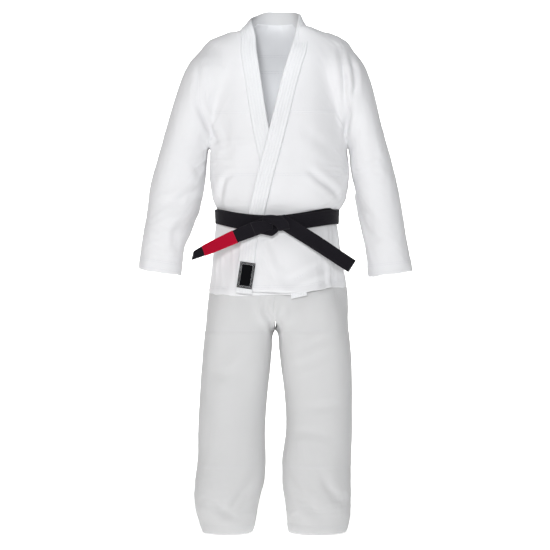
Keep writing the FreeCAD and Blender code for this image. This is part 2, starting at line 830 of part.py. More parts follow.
def make_belt_end(word, side):
    """A free end of the belt: a flat strip with a round root that turns behind the knot."""
    body = doc.addObject("PartDesign::Body", f"{word}_end_body")
    length, half, corner = cell(f"{word}_end_length"), f"{cell('belt_width')} / 2", cell("belt_end_corner")
    strip = sketch_on(body, "XZ_Plane", f"{word}_end_strip")
    draw_polygon(
        strip,
        [
            ("0", f"-{half}"),
            (f"{length} - {corner}", f"-{half}"),
            (length, f"-{half} + {corner}"),
            (length, f"{half} - {corner}"),
            (f"{length} - {corner}", half),
            ("0", half),
        ],
    )
    flat = pad(body, strip, f"{word}_end_pad", cell("belt_end_thickness"))
    flat.SideType = "Symmetric"
    root = sketch_on(body, "XZ_Plane", f"{word}_end_root")
    root.addGeometry(Part.Circle(Vector(0, 0, 0), Vector(0, 0, 1), size("belt_width") / 2), False)
    root.addConstraint(Sketcher.Constraint("Coincident", 0, 3, -1, 1))
    at = root.addConstraint(Sketcher.Constraint("Radius", 0, size("belt_width") / 2))
    root.setExpression(f"Constraints[{at}]", half)
    disc = pad(body, root, f"{word}_end_disc", cell("belt_end_thickness"))
    disc.SideType = "Symmetric"
    place_on_belt(body, side, size(f"{word}_end_slope"))
    keep(body, f"belt_end_{word}")


def make_rank_bar():
    """A sleeve of coloured cloth sewn round the right end of the belt, short of its tip."""
    body = doc.addObject("PartDesign::Body", "rank_bar_body")
    cover, gap = cell("rank_bar_cover"), cell("layer_gap")
    for name, grow, kind in (("outside", f"({cover} + {gap})", "Pad"), ("inside", gap, "Pocket")):
        half = f"({cell('belt_width')} / 2 + {grow})"
        thick = f"({cell('belt_end_thickness')} / 2 + {grow})"
        outline = sketch_on(body, "YZ_Plane", f"bar_{name}")
        corners = [(f"-{thick}", f"-{half}"), (thick, f"-{half}"), (thick, half), (f"-{thick}", half)]
        draw_polygon(outline, corners)
        if kind == "Pad":
            pad(body, outline, "bar_pad", cell("rank_bar_length"))
        else:
            hole = body.newObject("PartDesign::Pocket", "bar_hole")
            hole.Profile = outline
            hole.Type = "ThroughAll"
            hole.Reversed = True
    doc.recompute()
    along = f"({cell('right_end_length')} - {cell('rank_bar_from_tip')} - {cell('rank_bar_length')})"
    place_on_belt(body, -1, size("right_end_slope"), along)
    keep(body, "rank_bar")


# ---------------------------------------------------------------- all of it


def write_parts():
    """Checks every piece and writes it out under its own label."""
    os.makedirs("parts", exist_ok=True)
    doc.recompute()
    for thing in doc.Objects:
        if "Invalid" in thing.State or "Error" in thing.State:
            raise ValueError(f"{thing.Label} did not compute: {thing.State}")
    for thing in parts:
        shape = thing.Shape
        if shape.isNull() or not shape.isValid() or not shape.Solids:
            raise ValueError(f"{thing.Label} is not a valid solid")
        shape.exportStep(f"parts/{thing.Label}.step")
        span = shape.BoundBox
        print(f"{thing.Label}: {len(shape.Solids)} solids, {shape.Volume / 1000:.1f} cm3,"
              f" {span.XLength:.0f} x {span.YLength:.0f} x {span.ZLength:.0f} mm")


fill_sheet()
make_jacket()
make_lapels()
make_patch()
make_sleeves()
make_wraps()
make_knot()
make_belt_end("left", 1)
make_belt_end("right", -1)
make_rank_bar()
make_hips()
make_legs()
make_waistband()
make_loops()
write_parts()
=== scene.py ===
"""A martial arts uniform in its worn shape, as cloth: jacket, lapels, belt and trousers.

Metres, in the frame of the CAD model: +Z up, -Y the front, +X the wearer's left, and the origin in
the neck opening. Section tables are in millimetres, with levels above the trouser hem.
"""

import math
from functools import partial

import bmesh
import bpy
import numpy as np
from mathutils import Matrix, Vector
from mathutils.bvhtree import BVHTree

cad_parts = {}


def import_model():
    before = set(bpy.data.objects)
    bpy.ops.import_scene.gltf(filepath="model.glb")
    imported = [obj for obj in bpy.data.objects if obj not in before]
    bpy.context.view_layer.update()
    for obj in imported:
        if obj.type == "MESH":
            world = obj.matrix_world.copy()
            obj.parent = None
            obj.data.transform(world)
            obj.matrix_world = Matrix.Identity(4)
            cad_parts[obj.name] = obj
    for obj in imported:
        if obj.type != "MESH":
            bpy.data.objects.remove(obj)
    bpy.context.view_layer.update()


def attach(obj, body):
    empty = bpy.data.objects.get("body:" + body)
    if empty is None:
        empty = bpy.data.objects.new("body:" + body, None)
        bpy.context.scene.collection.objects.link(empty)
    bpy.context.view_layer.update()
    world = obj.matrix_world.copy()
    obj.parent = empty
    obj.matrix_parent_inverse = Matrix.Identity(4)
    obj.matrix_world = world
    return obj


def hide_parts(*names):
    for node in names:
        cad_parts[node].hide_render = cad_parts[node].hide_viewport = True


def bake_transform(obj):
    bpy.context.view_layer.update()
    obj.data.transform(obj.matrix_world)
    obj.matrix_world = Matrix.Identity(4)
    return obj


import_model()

MM = 0.001
NECK_LEVEL = 1428
SIDES = {"left": 1, "right": -1}

# ---------------------------------------------------------------- shape tables

# Level, half width, depth in front, depth behind, and how far the middle is towards the wearer's left.
TORSO = [
    (845, 171, 115, 122, 4), (880, 165, 113, 118, 4), (905, 164, 112, 117, 5),
    (930, 178, 119, 124, 12), (960, 192, 126, 130, 13), (1005, 200, 129, 132, 13),
    (1060, 196, 129, 132, 9), (1140, 191, 129, 131, 6), (1240, 191, 124, 127, 0),
    (1310, 196, 110, 117, 0), (1350, 209, 96, 104, 3), (1380, 216, 82, 90, 5),
    (1402, 199, 70, 80, 8), (1422, 150, 63, 72, 11), (1441, 100, 60, 66, 12), (1460, 78, 56, 62, 2),
]
SKIRT = [
    (930, 168, 113, 118, 5), (885, 171, 114, 119, 4), (860, 181, 117, 123, 4),
    (820, 188, 120, 129, 6), (745, 194, 121, 131, 9), (700, 201, 122, 133, 8),
    (655, 206, 122, 133, 8),
]
HIPS = [
    (930, 154, 99, 102, 4), (860, 160, 102, 104, 6), (800, 176, 106, 109, 9),
    (720, 193, 110, 115, 10), (660, 201, 112, 115, 9), (615, 202, 100, 104, 7),
    (588, 190, 62, 66, 6),
]
# Level, middle, half width, half depth, power, for each leg.
LEGS = {
    1: [
        (-24, 121, 82, 70, 2.2), (0, 122, 85, 72, 2.2), (40, 125, 91, 77, 2.2),
        (80, 123, 94, 82, 2.2), (144, 120, 98, 86, 2.2), (213, 120, 98, 87, 2.2),
        (282, 127, 94, 87, 2.2), (350, 127, 94, 88, 2.2), (420, 124, 97, 93, 2.3),
        (490, 118, 101, 98, 2.5), (558, 112, 101, 105, 2.6), (612, 109, 98, 108, 2.6),
        (690, 101, 92, 106, 2.4),
    ],
    -1: [
        (-24, 138, 69, 66, 2.2), (0, 136, 74, 68, 2.2), (40, 138, 85, 75, 2.2),
        (80, 139, 92, 81, 2.2), (144, 131, 99, 86, 2.2), (213, 124, 97, 87, 2.2),
        (282, 126, 95, 87, 2.2), (350, 123, 95, 88, 2.2), (420, 118, 96, 92, 2.3),
        (490, 110, 98, 97, 2.5), (558, 105, 97, 104, 2.6), (612, 101, 96, 108, 2.6),
        (690, 97, 92, 106, 2.4),
    ],
}
# Middle x, level, turn from level, half width, half depth, for each sleeve.
SLEEVES = {
    1: [
        (96, 1302, 90, 62, 78), (152, 1305, 80, 86, 92), (193, 1292, 55, 84, 97),
        (230, 1226, 27, 63, 96), (256, 1150, 17, 53, 90), (273, 1070, 12, 58, 82),
        (289, 1000, 11, 61, 77), (304, 920, 10, 62, 69), (321, 835, 8, 58, 62),
        (331, 745, 6.5, 65, 53), (334, 715, 6.5, 65, 52),
    ],
    -1: [
        (96, 1302, 90, 62, 78), (152, 1303, 80, 84, 92), (189, 1290, 55, 82, 97),
        (227, 1226, 27, 64, 96), (247, 1150, 18, 66, 90), (269, 1060, 13, 69, 82),
        (282, 985, 11, 77, 76), (301, 900, 10, 69, 68), (320, 830, 9, 62, 61),
        (331, 745, 8.8, 63, 52), (335, 715, 8.8, 63, 51),
    ],
}
# Each lapel's edge beside the opening: its distance towards its own side, and its level.
LAPEL_EDGES = {
    1: [
        (57, 1428), (50, 1396), (40, 1360), (22, 1300), (-4, 1195), (-22, 1120), (-50, 1016),
        (-76, 905), (-97, 820), (-112, 655),
    ],
    -1: [
        (60, 1428), (56, 1396), (50, 1360), (41, 1300), (25, 1195), (11, 1120), (-11, 1016),
        (-36, 905), (-60, 820), (-96, 655),
    ],
}

TORSO_POWER = 2.3
OVERLAP = 9.0
LAPEL_WIDTH = 46.0
RING = 96


def height(level):
    return (level - NECK_LEVEL) * MM


def smooth_rows(rows, per=10):
    """Rows of a table, with a smooth curve through every column."""
    rows = np.array(rows, float)
    rows = np.vstack([2 * rows[0] - rows[1], rows, 2 * rows[-1] - rows[-2]])
    found = []
    for a, b, c, d in zip(rows, rows[1:], rows[2:], rows[3:]):
        for t in np.linspace(0, 1, per, endpoint=False):
            bend = (2 * a - 5 * b + 4 * c - d) * t * t + (3 * b - a - 3 * c + d) * t**3
            found.append((2 * b + (c - a) * t + bend) / 2)
    found.append(rows[-2])
    return np.array(found)


def oval(width, front, back, power, count=RING):
    """x and y round an oval that is squarer than an ellipse, with its own depth in front and behind."""
    turns = np.linspace(0, 2 * math.pi, count, endpoint=False)
    c, s = np.cos(turns), np.sin(turns)
    depth = np.where(s > 0, back, front)
    return width * np.sign(c) * abs(c) ** (2 / power), depth * np.sign(s) * abs(s) ** (2 / power)


def level_rings(rows, grow=0.0, lift=0.0, power=TORSO_POWER):
    rings = []
    for level, width, front, back, aside in smooth_rows(rows):
        x, y = oval(width + grow, front + grow + lift, back + grow, power)
        rings.append(np.stack([(x + aside) * MM, y * MM, np.full(RING, height(level))], 1))
    return rings


def leg_rings(side, grow=0.0):
    rings = []
    for level, middle, width, depth, power in smooth_rows(LEGS[side]):
        x, y = oval(width + grow, depth + grow, depth + grow, power)
        rings.append(np.stack([side * (x + middle) * MM, y * MM, np.full(RING, height(level))], 1))
    return rings


def sleeve_rings(side, grow=0.0, spread=0.0):
    rings = []
    for middle, level, turn, width, depth in smooth_rows(SLEEVES[side]):
        x, y = oval(width + grow, depth + grow, depth + grow, 2.15)
        lean = math.radians(turn)
        out, up = middle + x * math.cos(lean), height(level) + x * math.sin(lean) * MM
        out = out + spread * below_armpit(up)
        rings.append(np.stack([side * out * MM, y * MM, up], 1))
    return rings


ARMPIT_LEVELS = (975, 1011, 1050, 1075, 1100, 1125)
# How far out the body and then the sleeve are, on either side of the gap under the arm, at those levels.
ARMPIT_GAPS = {
    1: ((204, 212, 212, 210, 205, 203), (233, 224, 218, 216, 213, 210)),
    -1: ((180, 187, 187, 184, 181, 178), (201, 198, 196, 195, 193, 191)),
}
# How much further out a sleeve is while it is made, so that it stays apart from the body.
SPREAD = 13.0


def below_armpit(z):
    """0 above the armpit and 1 below it, for heights in the frame."""
    t = np.clip((height(1160) - z) / (height(1160) - height(1095)), 0, 1)
    return t * t * (3 - 2 * t)


def gap_edges(side, z):
    """How far out the body and the sleeve are at heights in the frame, in metres."""
    heights = [height(level) for level in ARMPIT_LEVELS]
    return [np.interp(z, heights, edge) * MM for edge in ARMPIT_GAPS[side]]


def gap_middle(side, z):
    return sum(gap_edges(side, z)) / 2


# ---------------------------------------------------------------- meshes


def link(name, points, faces):
    mesh = bpy.data.meshes.new(name)
    mesh.from_pydata([tuple(point) for point in points], [], faces)
    mesh.update()
    thing = bpy.data.objects.new(name, mesh)
    bpy.context.scene.collection.objects.link(thing)
    return thing


def closed_tubes(name, tubes):
    """One mesh of closed tubes, each a list of rings."""
    points, faces = [], []
    for rings in tubes:
        start, count = len(points), len(rings[0])
        for ring in rings:
            points.extend(ring)
        for row in range(len(rings) - 1):
            for k in range(count):
                a, b = start + row * count + k, start + row * count + (k + 1) % count
                faces.append((a, b, b + count, a + count))
        faces.append(tuple(range(start, start + count))[::-1])
        last = start + (len(rings) - 1) * count
        faces.append(tuple(range(last, last + count)))
    thing = link(name, points, faces)
    outward(thing)
    return thing


def outward(thing):
    made = bmesh.new()
    made.from_mesh(thing.data)
    bmesh.ops.recalc_face_normals(made, faces=made.faces)
    made.to_mesh(thing.data)
    made.free()


def apply_all(thing):
    """Turns a piece's modifiers into plain mesh."""
    bpy.context.view_layer.update()
    graph = bpy.context.evaluated_depsgraph_get()
    mesh = bpy.data.meshes.new_from_object(thing.evaluated_get(graph))
    old = thing.data
    thing.modifiers.clear()
    thing.data = mesh
    bpy.data.meshes.remove(old)
    mesh.name = thing.name


def places(thing):
    found = np.empty(len(thing.data.vertices) * 3)
    thing.data.vertices.foreach_get("co", found)
    return found.reshape(-1, 3)


def directions(thing):
    """Which way the surface faces at each point."""
    found = np.empty(len(thing.data.vertices) * 3)
    thing.data.vertices.foreach_get("normal", found)
    return found.reshape(-1, 3)


def levels_of(co):
    return co[:, 2] / MM + NECK_LEVEL


def put(thing, found):
    thing.data.vertices.foreach_set("co", np.ascontiguousarray(found).ravel())
    thing.data.update()


def edges_of(thing):
    found = np.empty(len(thing.data.edges) * 2, int)
    thing.data.edges.foreach_get("vertices", found)
    return found.reshape(-1, 2)


def cut_edge(thing):
    """Which points lie on an open edge."""
    made = bmesh.new()
    made.from_mesh(thing.data)
    found = np.array([vert.is_boundary for vert in made.verts])
    made.free()
    return found


def relax(thing, times, share):
    """Moves each point towards the middle of its neighbours, by its share. Open edges stay in place."""
    edges, co = edges_of(thing), places(thing)
    share = (np.broadcast_to(share, len(co)) * ~cut_edge(thing))[:, None] * 0.5
    count = np.bincount(edges.ravel(), minlength=len(co))[:, None].clip(1)
    for _ in range(times):
        total = np.zeros_like(co)
        np.add.at(total, edges[:, 0], co[edges[:, 1]])
        np.add.at(total, edges[:, 1], co[edges[:, 0]])
        co = co + share * (total / count - co)
    put(thing, co)


def remeshed(thing, size):
    cloth = thing.modifiers.new("even", "REMESH")
    cloth.mode = "VOXEL"
    cloth.voxel_size = size
    apply_all(thing)


def trim(thing, gap, way, reach):
    """Cuts away where gap is negative, and brings the cut edge onto the line where it is zero."""
    co = places(thing)
    values = gap(co)
    made = bmesh.new()
    made.from_mesh(thing.data)
    made.faces.ensure_lookup_table()
    gone = [face for face in made.faces if np.mean([values[v.index] for v in face.verts]) < 0]
    bmesh.ops.delete(made, geom=gone, context="FACES")
    for vert in made.verts:
        if vert.is_boundary and abs(values[vert.index]) < reach:
            vert.co -= Vector(way) * values[vert.index]
    made.to_mesh(thing.data)
    made.free()


def step(values, start, end):
    """Rises smoothly from 0 at start to 1 at end."""
    t = np.clip((np.asarray(values, float) - start) / (end - start), 0, 1)
    return t * t * (3 - 2 * t)


# ---------------------------------------------------------------- torso surface, as numbers

TORSO_CURVE = smooth_rows(TORSO)
SKIRT_CURVE = smooth_rows(SKIRT)[::-1]
EDGE_CURVES = {side: smooth_rows(rows)[::-1] for side, rows in LAPEL_EDGES.items()}
SPLIT_LEVEL = 897


def edge_x(side, level):
    """How far towards its own side a lapel's inner edge is at a level."""
    return np.interp(level, EDGE_CURVES[side][:, 1], EDGE_CURVES[side][:, 0])


def front_y(x, level, grow, lift):
    """How far forward the jacket's front is, at x and a level."""
    above = np.asarray(level) > SPLIT_LEVEL
    width, depth, aside = (
        np.where(
            above,
            np.interp(level, TORSO_CURVE[:, 0], TORSO_CURVE[:, column]),
            np.interp(level, SKIRT_CURVE[:, 0], SKIRT_CURVE[:, column]),
        )
        for column in (1, 2, 4)
    )
    share = np.clip(abs(np.asarray(x) - aside) / (width + grow), 0, 0.999)
    return -(depth + grow + lift) * (1 - share**TORSO_POWER) ** (1 / TORSO_POWER)


# ---------------------------------------------------------------- jacket cloth

# The middle of each cuff, its level, and how far the cuff's plane is turned from level.
CUFFS = {1: (329.5, 736, 6.3), -1: (331, 741, 8.8)}
VOXEL = 0.008
FRAMES = 28
simulated = []


def lift_of(side):
    return OVERLAP if side > 0 else 0.0


def sleeve_way(side):
    lean = math.radians(CUFFS[side][2])
    return np.array([side * math.sin(lean), 0, -math.cos(lean)])


def cuff_middle(side):
    x, level, _ = CUFFS[side]
    return np.array([side * x * MM, 0, height(level)])


def past_cuff(side, co):
    """How far points are past the plane that the cuff is cut at."""
    return (co - cuff_middle(side)) @ sleeve_way(side)


def jacket_half(word):
    """One side of the jacket above the belt, with its sleeve, as one cloth."""
    side = SIDES[word]
    tubes = [level_rings(TORSO, lift=lift_of(side)), sleeve_rings(side, spread=SPREAD)]
    thing = closed_tubes(f"jacket_{word}", tubes)
    remeshed(thing, VOXEL)
    co = places(thing)
    moved = SPREAD * MM * below_armpit(co[:, 2])
    past_gap = side * co[:, 0] - gap_middle(side, co[:, 2]) - moved / 2
    co[:, 0] -= side * moved * step(past_gap, -0.006, 0.006)
    put(thing, co)
    far = np.linalg.norm((co - [side * 0.168, 0, height(1275)]) / [0.06, 0.13, 0.13], axis=1)
    relax(thing, 26, 1 - step(far, 0.75, 1.25))
    relax(thing, 4, 1.0)

    def front_gap(co):
        level = levels_of(co)
        inner = side * co[:, 0] - (edge_x(side, level) + 14) * MM
        return np.where(co[:, 1] < 0, inner, 1.0)

    trim(thing, front_gap, (side, 0, 0), VOXEL * 1.6)
    trim(thing, lambda co: np.where(co[:, 1] >= 0, side * co[:, 0], 1.0), (side, 0, 0), VOXEL * 1.6)
    trim(thing, lambda co: height(1447) - co[:, 2], (0, 0, -1), VOXEL)

    def waist_gap(co):
        return np.where(side * co[:, 0] < 0.213, co[:, 2] - height(880), 1.0)

    trim(thing, waist_gap, (0, 0, 1), VOXEL)

    def cuff_gap(co):
        return np.where(side * co[:, 0] > 0.222, -past_cuff(side, co), 1.0)

    trim(thing, cuff_gap, tuple(-sleeve_way(side)), VOXEL * 1.6)
    return thing


def jacket_pin(word, co):
    """How firmly each point of a jacket half is held while it settles."""
    side = SIDES[word]
    level = levels_of(co)
    beside = side * co[:, 0] / MM - edge_x(side, level)
    lapel = np.where(co[:, 1] < 0, 1 - step(beside, LAPEL_WIDTH - 2, LAPEL_WIDTH + 26), 0)
    belt = (1 - step(level, 915, 935)) * (side * co[:, 0] < 0.210)
    neck = step(level, 1400, 1425) * (abs(co[:, 0]) < 0.15)
    spine = np.where(co[:, 1] > 0, 1 - step(side * co[:, 0], 0.004, 0.03), 0)
    cuff = (1 - step(-past_cuff(side, co), 0.012, 0.035)) * (side * co[:, 0] > 0.24)
    return np.clip(np.maximum.reduce([lapel, belt, neck, spine, cuff]), 0, 1)


def hem_level(side, x):
    """The level of the jacket's hem: the left front rises towards its side, and the right hangs lower."""
    if side > 0:
        return 687 + 17 * step(x, 40, 200)
    return 678 - 0.035 * x if side else 691 + 0 * x


def skirt_part(name, side):
    """The jacket below the belt: side 1 or -1 is a front, and 0 is the back."""
    lift = lift_of(side) if side else 0.0
    thing = closed_tubes(name, [level_rings(SKIRT, lift=lift)])
    remeshed(thing, VOXEL)
    if side:

        def front_gap(co):
            level = levels_of(co)
            return side * co[:, 0] - (edge_x(side, level) + 14) * MM

        trim(thing, front_gap, (side, 0, 0), VOXEL * 1.6)
        trim(thing, lambda co: -0.002 - co[:, 1], (0, -1, 0), VOXEL * 1.6)
    else:
        trim(thing, lambda co: co[:, 1] - 0.002, (0, 1, 0), VOXEL * 1.6)
    trim(thing, lambda co: height(916) - co[:, 2], (0, 0, -1), VOXEL)
    trim(thing, lambda co: co[:, 2] - height(hem_level(side, co[:, 0] / MM)), (0, 0, 1), VOXEL)
    return thing


def skirt_pin(side, co):
    level = levels_of(co)
    top = step(level, 862, 880)
    if not side:
        return top
    beside = side * co[:, 0] / MM - edge_x(side, level)
    return np.maximum(top, 1 - step(beside, LAPEL_WIDTH - 2, LAPEL_WIDTH + 30))


def trouser_half(word):
    """One leg of the trousers with its side of the hips, as one cloth."""
    side = SIDES[word]
    thing = closed_tubes(f"trousers_{word}", [level_rings(HIPS, power=2.25), leg_rings(side)])
    remeshed(thing, VOXEL)
    co = places(thing)
    relax(thing, 20, 1 - step(abs(co[:, 2] - height(600)), 0.05, 0.11))
    relax(thing, 4, 1.0)
    trim(thing, lambda co: side * co[:, 0], (side, 0, 0), VOXEL * 1.6)
    trim(thing, lambda co: height(920) - co[:, 2], (0, 0, -1), VOXEL)
    trim(thing, lambda co: co[:, 2] - height(0), (0, 0, 1), VOXEL * 1.6)
    return thing


def trouser_pin(word, co):
    level = levels_of(co)
    seam = 1 - step(SIDES[word] * co[:, 0], 0.001, 0.02)
    return np.maximum.reduce([step(level, 690, 740), seam, 1 - step(level, 10, 34)])


def weigh(thing, name, weights):
    group = thing.vertex_groups.new(name=name)
    for index, weight in enumerate(weights):
        if weight > 0.001:
            group.add([index], float(weight), "REPLACE")


def to_simulate(thing, pins, hems, extra, stiff):
    """Cloth that falls: pins hold it, hems are stiffer, and extra is how much too long it is cut."""
    weigh(thing, "held", pins)
    weigh(thing, "hems", hems)
    cloth = thing.modifiers.new("cloth", "CLOTH")
    cloth.point_cache.frame_end = FRAMES
    cloth.settings.quality = 6
    cloth.settings.mass = 0.25
    cloth.settings.tension_stiffness = 30
    cloth.settings.compression_stiffness = 30
    cloth.settings.shear_stiffness = 12
    cloth.settings.bending_stiffness = stiff
    cloth.settings.bending_stiffness_max = 60
    cloth.settings.vertex_group_bending = "hems"
    cloth.settings.air_damping = 3
    cloth.settings.vertex_group_mass = "held"
    cloth.settings.shrink_min = -extra
    cloth.settings.shrink_max = 0.0
    cloth.settings.vertex_group_shrink = "hems"
    cloth.collision_settings.distance_min = 0.003
    cloth.collision_settings.use_self_collision = False
    simulated.append(thing)


def wearer(name, tubes):
    """Part of the form under the cloth, which is taken away once the cloth has settled."""
    thing = closed_tubes(name, tubes)
    remeshed(thing, 0.014)
    thing.modifiers.new("solid", "COLLISION")
    thing.collision.thickness_outer = 0.004
    thing.collision.cloth_friction = 8
    return thing


def settle(forms):
    """Lets all the cloth fall for a short time, then fixes it as it is."""
    scene = bpy.context.scene
    for number in range(1, FRAMES + 1):
        scene.frame_set(number)
        bpy.context.view_layer.update()
    for thing in simulated:
        apply_all(thing)
        thing.vertex_groups.clear()
    scene.frame_set(1)
    for form in forms:
        bpy.data.objects.remove(form, do_unlink=True)


def even_edges(thing, times=12):
    """Smooths the open edges of a cloth along themselves, as a folded hem is even."""
    made = bmesh.new()
    made.from_mesh(thing.data)
    made.verts.ensure_lookup_table()
    beside = {
        vert.index: [edge.other_vert(vert).index for edge in vert.link_edges if edge.is_boundary]
        for vert in made.verts
        if vert.is_boundary
    }
    made.free()
    ends = [index for index, others in beside.items() if len(others) == 2]
    first = np.array([beside[index][0] for index in ends])
    second = np.array([beside[index][1] for index in ends])
    co = places(thing)
    for _ in range(times):
        co[ends] += 0.5 * ((co[first] + co[second]) / 2 - co[ends])
    put(thing, co)


def crease(thing, path, depth, width):
    """Presses a fold into the front of a cloth along a path of x and level, between two raised lips."""
    middle = smooth_rows(path, 14)
    co = places(thing)
    flat = np.stack([co[:, 0] / MM, levels_of(co)], 1)
    low, high = middle.min(0) - 5 * width, middle.max(0) + 5 * width
    index = np.flatnonzero((co[:, 1] <= 0) & ((flat > low) & (flat < high)).all(1))
    if not len(index):
        return
    gaps = np.linalg.norm(flat[index][:, None] - middle[None], axis=2)
    nearest = gaps.argmin(1)
    away = gaps.min(1) / width
    fade = np.sin(np.pi * np.clip((nearest + 0.5) / len(middle), 0, 1)) ** 0.6
    shape = -np.exp(-(away**2)) + 0.4 * np.exp(-((away - 2.0) ** 2))
    co[index] += directions(thing)[index] * (depth * MM * fade * shape)[:, None]
    put(thing, co)


def thicken(thing, thickness, levels=1):
    finer = thing.modifiers.new("finer", "SUBSURF")
    finer.levels = levels
    finer.render_levels = levels
    body = thing.modifiers.new("body", "SOLIDIFY")
    body.thickness = thickness
    body.offset = 0.0
    apply_all(thing)
    thing.data.polygons.foreach_set("use_smooth", [True] * len(thing.data.polygons))


# ---------------------------------------------------------------- how much of each cloth lies on either side of a joint


def sleeve_share(side, co):
    """0 on the body of the jacket and 1 on the sleeve, turning over near the armhole."""
    from_shoulder = np.stack([side * co[:, 0] - 0.190, co[:, 2] - height(1262)], 1)
    x, z = from_shoulder[:, 0], from_shoulder[:, 1]
    outward_by = x * 0.92 - z * 0.25
    above = step(outward_by, -0.045, 0.085) * step(side * co[:, 0], 0.150, 0.215)
    apart = step(side * co[:, 0] - gap_middle(side, co[:, 2]), -0.003, 0.003)
    below = below_armpit(co[:, 2])
    return below * apart + (1 - below) * above


def leg_share(side, co):
    """0 on the hips and 1 on the leg. The seam between the two sides stays with the hips."""
    down = 1 - step(co[:, 2], height(545), height(690))
    clear = step(side * co[:, 0], 0.0, 0.075)
    below = 1 - step(co[:, 2], height(470), height(575))
    return down * (clear + (1 - clear) * below)


def skirt_share(co):
    return 1 - step(co[:, 2], height(760), height(862))


def follow(thing, share):
    """Bakes a piece's place into its mesh and works out its share of the child at each point, but nothing
    uses these shares.
    """
    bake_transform(thing)
    weights = share(places(thing)).astype(np.float32)


# ---------------------------------------------------------------- materials


def woven(name, color, roughness, pattern, scale, bump, uneven=0.04, wear_and_highlight=0.0, sheen=0.15, shine=0.2):
    """Cloth with its weave, a slightly uneven colour, and its sharp ridges and edges made lighter, partly
    as rubbed wear and partly as a painted highlight.

    pattern is grain, for rice-grain weave, or twill, for fine slanted ribs.
    """
    material = bpy.data.materials.new(name)
    material.use_nodes = True
    nodes, links = material.node_tree.nodes, material.node_tree.links
    shader = nodes["Principled BSDF"]
    shader.inputs["Roughness"].default_value = roughness
    shader.inputs["Specular IOR Level"].default_value = shine
    shader.inputs["Sheen Weight"].default_value = sheen
    where = nodes.new("ShaderNodeTexCoord")

    blotches = nodes.new("ShaderNodeTexNoise")
    blotches.inputs["Scale"].default_value = 9.0
    blotches.inputs["Detail"].default_value = 5.0
    links.new(where.outputs["Object"], blotches.inputs["Vector"])
    tone = nodes.new("ShaderNodeMix")
    tone.data_type = "RGBA"
    tone.inputs["A"].default_value = (*(c * (1 - uneven) for c in color), 1)
    tone.inputs["B"].default_value = (*(min(1, c * (1 + uneven)) for c in color), 1)
    links.new(blotches.outputs["Fac"], tone.inputs["Factor"])

    # Sharp ridges and edges, found by their pointiness, are mixed towards a light grey: partly rubbed
    # wear, partly a painted highlight.
    shape = nodes.new("ShaderNodeNewGeometry")
    edges = nodes.new("ShaderNodeMapRange")
    edges.inputs["From Min"].default_value = 0.52
    edges.inputs["From Max"].default_value = 0.62
    edges.inputs["To Max"].default_value = wear_and_highlight
    links.new(shape.outputs["Pointiness"], edges.inputs["Value"])
    wear_and_highlight_mix = nodes.new("ShaderNodeMix")
    wear_and_highlight_mix.data_type = "RGBA"
    wear_and_highlight_mix.inputs["B"].default_value = (0.86, 0.86, 0.87, 1)
    links.new(edges.outputs["Result"], wear_and_highlight_mix.inputs["Factor"])
    links.new(tone.outputs["Result"], wear_and_highlight_mix.inputs["A"])
    links.new(wear_and_highlight_mix.outputs["Result"], shader.inputs["Base Color"])

    if pattern == "grain":
        weave = nodes.new("ShaderNodeTexVoronoi")
        weave.inputs["Randomness"].default_value = 0.35
        high = weave.outputs["Distance"]
    else:
        weave = nodes.new("ShaderNodeTexWave")
        weave.bands_direction = "DIAGONAL"
        weave.inputs["Distortion"].default_value = 0.6
        high = weave.outputs["Fac"]
    weave.inputs["Scale"].default_value = scale
    links.new(where.outputs["Object"], weave.inputs["Vector"])
    raised = nodes.new("ShaderNodeBump")
    raised.inputs["Strength"].default_value = bump
    raised.inputs["Distance"].default_value = 0.0006
    links.new(high, raised.inputs["Height"])
    links.new(raised.outputs["Normal"], shader.inputs["Normal"])
    return material


def paint(thing, material):
    thing.data.materials.clear()
    thing.data.materials.append(material)


def dress(material, slot, body, *things):
    """Paints pieces and makes them move with a body."""
    for thing in things:
        paint(thing, material)
        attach(thing, body)


# ---------------------------------------------------------------- lapels and collar


def band_stations(side):
    """Pairs of inner and outer edge points of the collar band, from its hem to the back of the neck."""
    lift = lift_of(side)
    pairs = []
    hem = 684 if side > 0 else 677
    for level in (hem, 720, 770, 820, 860, 897, 935, 985, 1040, 1100, 1160, 1220, 1280, 1330, 1370):
        x = edge_x(side, level)
        slope = (edge_x(side, level + 8) - edge_x(side, level - 8)) / 16
        wide = LAPEL_WIDTH / math.sqrt(1 + slope * slope)
        drop = wide * slope
        inner = (x, front_y(side * x, level, 1.5, lift), level)
        outer_x, outer_level = x + wide, level - drop
        outer = (outer_x, front_y(side * outer_x, outer_level, 1.5, lift), outer_level)
        pairs.append((inner, outer))
    top, rise = lift * 0.6, 1 if side > 0 else -13
    pairs += [
        ((54, -62 - top, 1408), (97, -67 - top * 0.6, 1400)),
        ((62, -46 - top * 0.5, 1447 + rise * 0.3), (97, -44, 1428)),
        ((67, -20, 1475 + rise), (91, -10, 1441)),
        ((67, 14, 1487 + rise), (86, 24, 1443)),
        ((52, 45, 1497 + rise * 0.7), (66, 55, 1441)),
        ((27, 61, 1501), (35, 70, 1439)),
        ((0, 65, 1502), (0, 74, 1438)),
    ]
    return [[(side * x, y, level) for x, y, level in pair] for pair in pairs]


def world(points):
    found = np.array(points, float) * MM
    found[..., 2] -= NECK_LEVEL * MM
    return found


def along_curve(points, spacing):
    """Points spaced evenly along a smooth curve through rows of numbers, measured by the first three."""
    dense = smooth_rows(points, 24)
    run = np.concatenate([[0], np.cumsum(np.linalg.norm(np.diff(dense[:, :3], axis=0), axis=1))])
    wanted = np.linspace(0, run[-1], max(2, int(round(run[-1] / spacing)) + 1))
    return np.stack([np.interp(wanted, run, dense[:, k]) for k in range(dense.shape[1])], 1)


BAND_ROWS = 6
BAND_THICK = 5.0


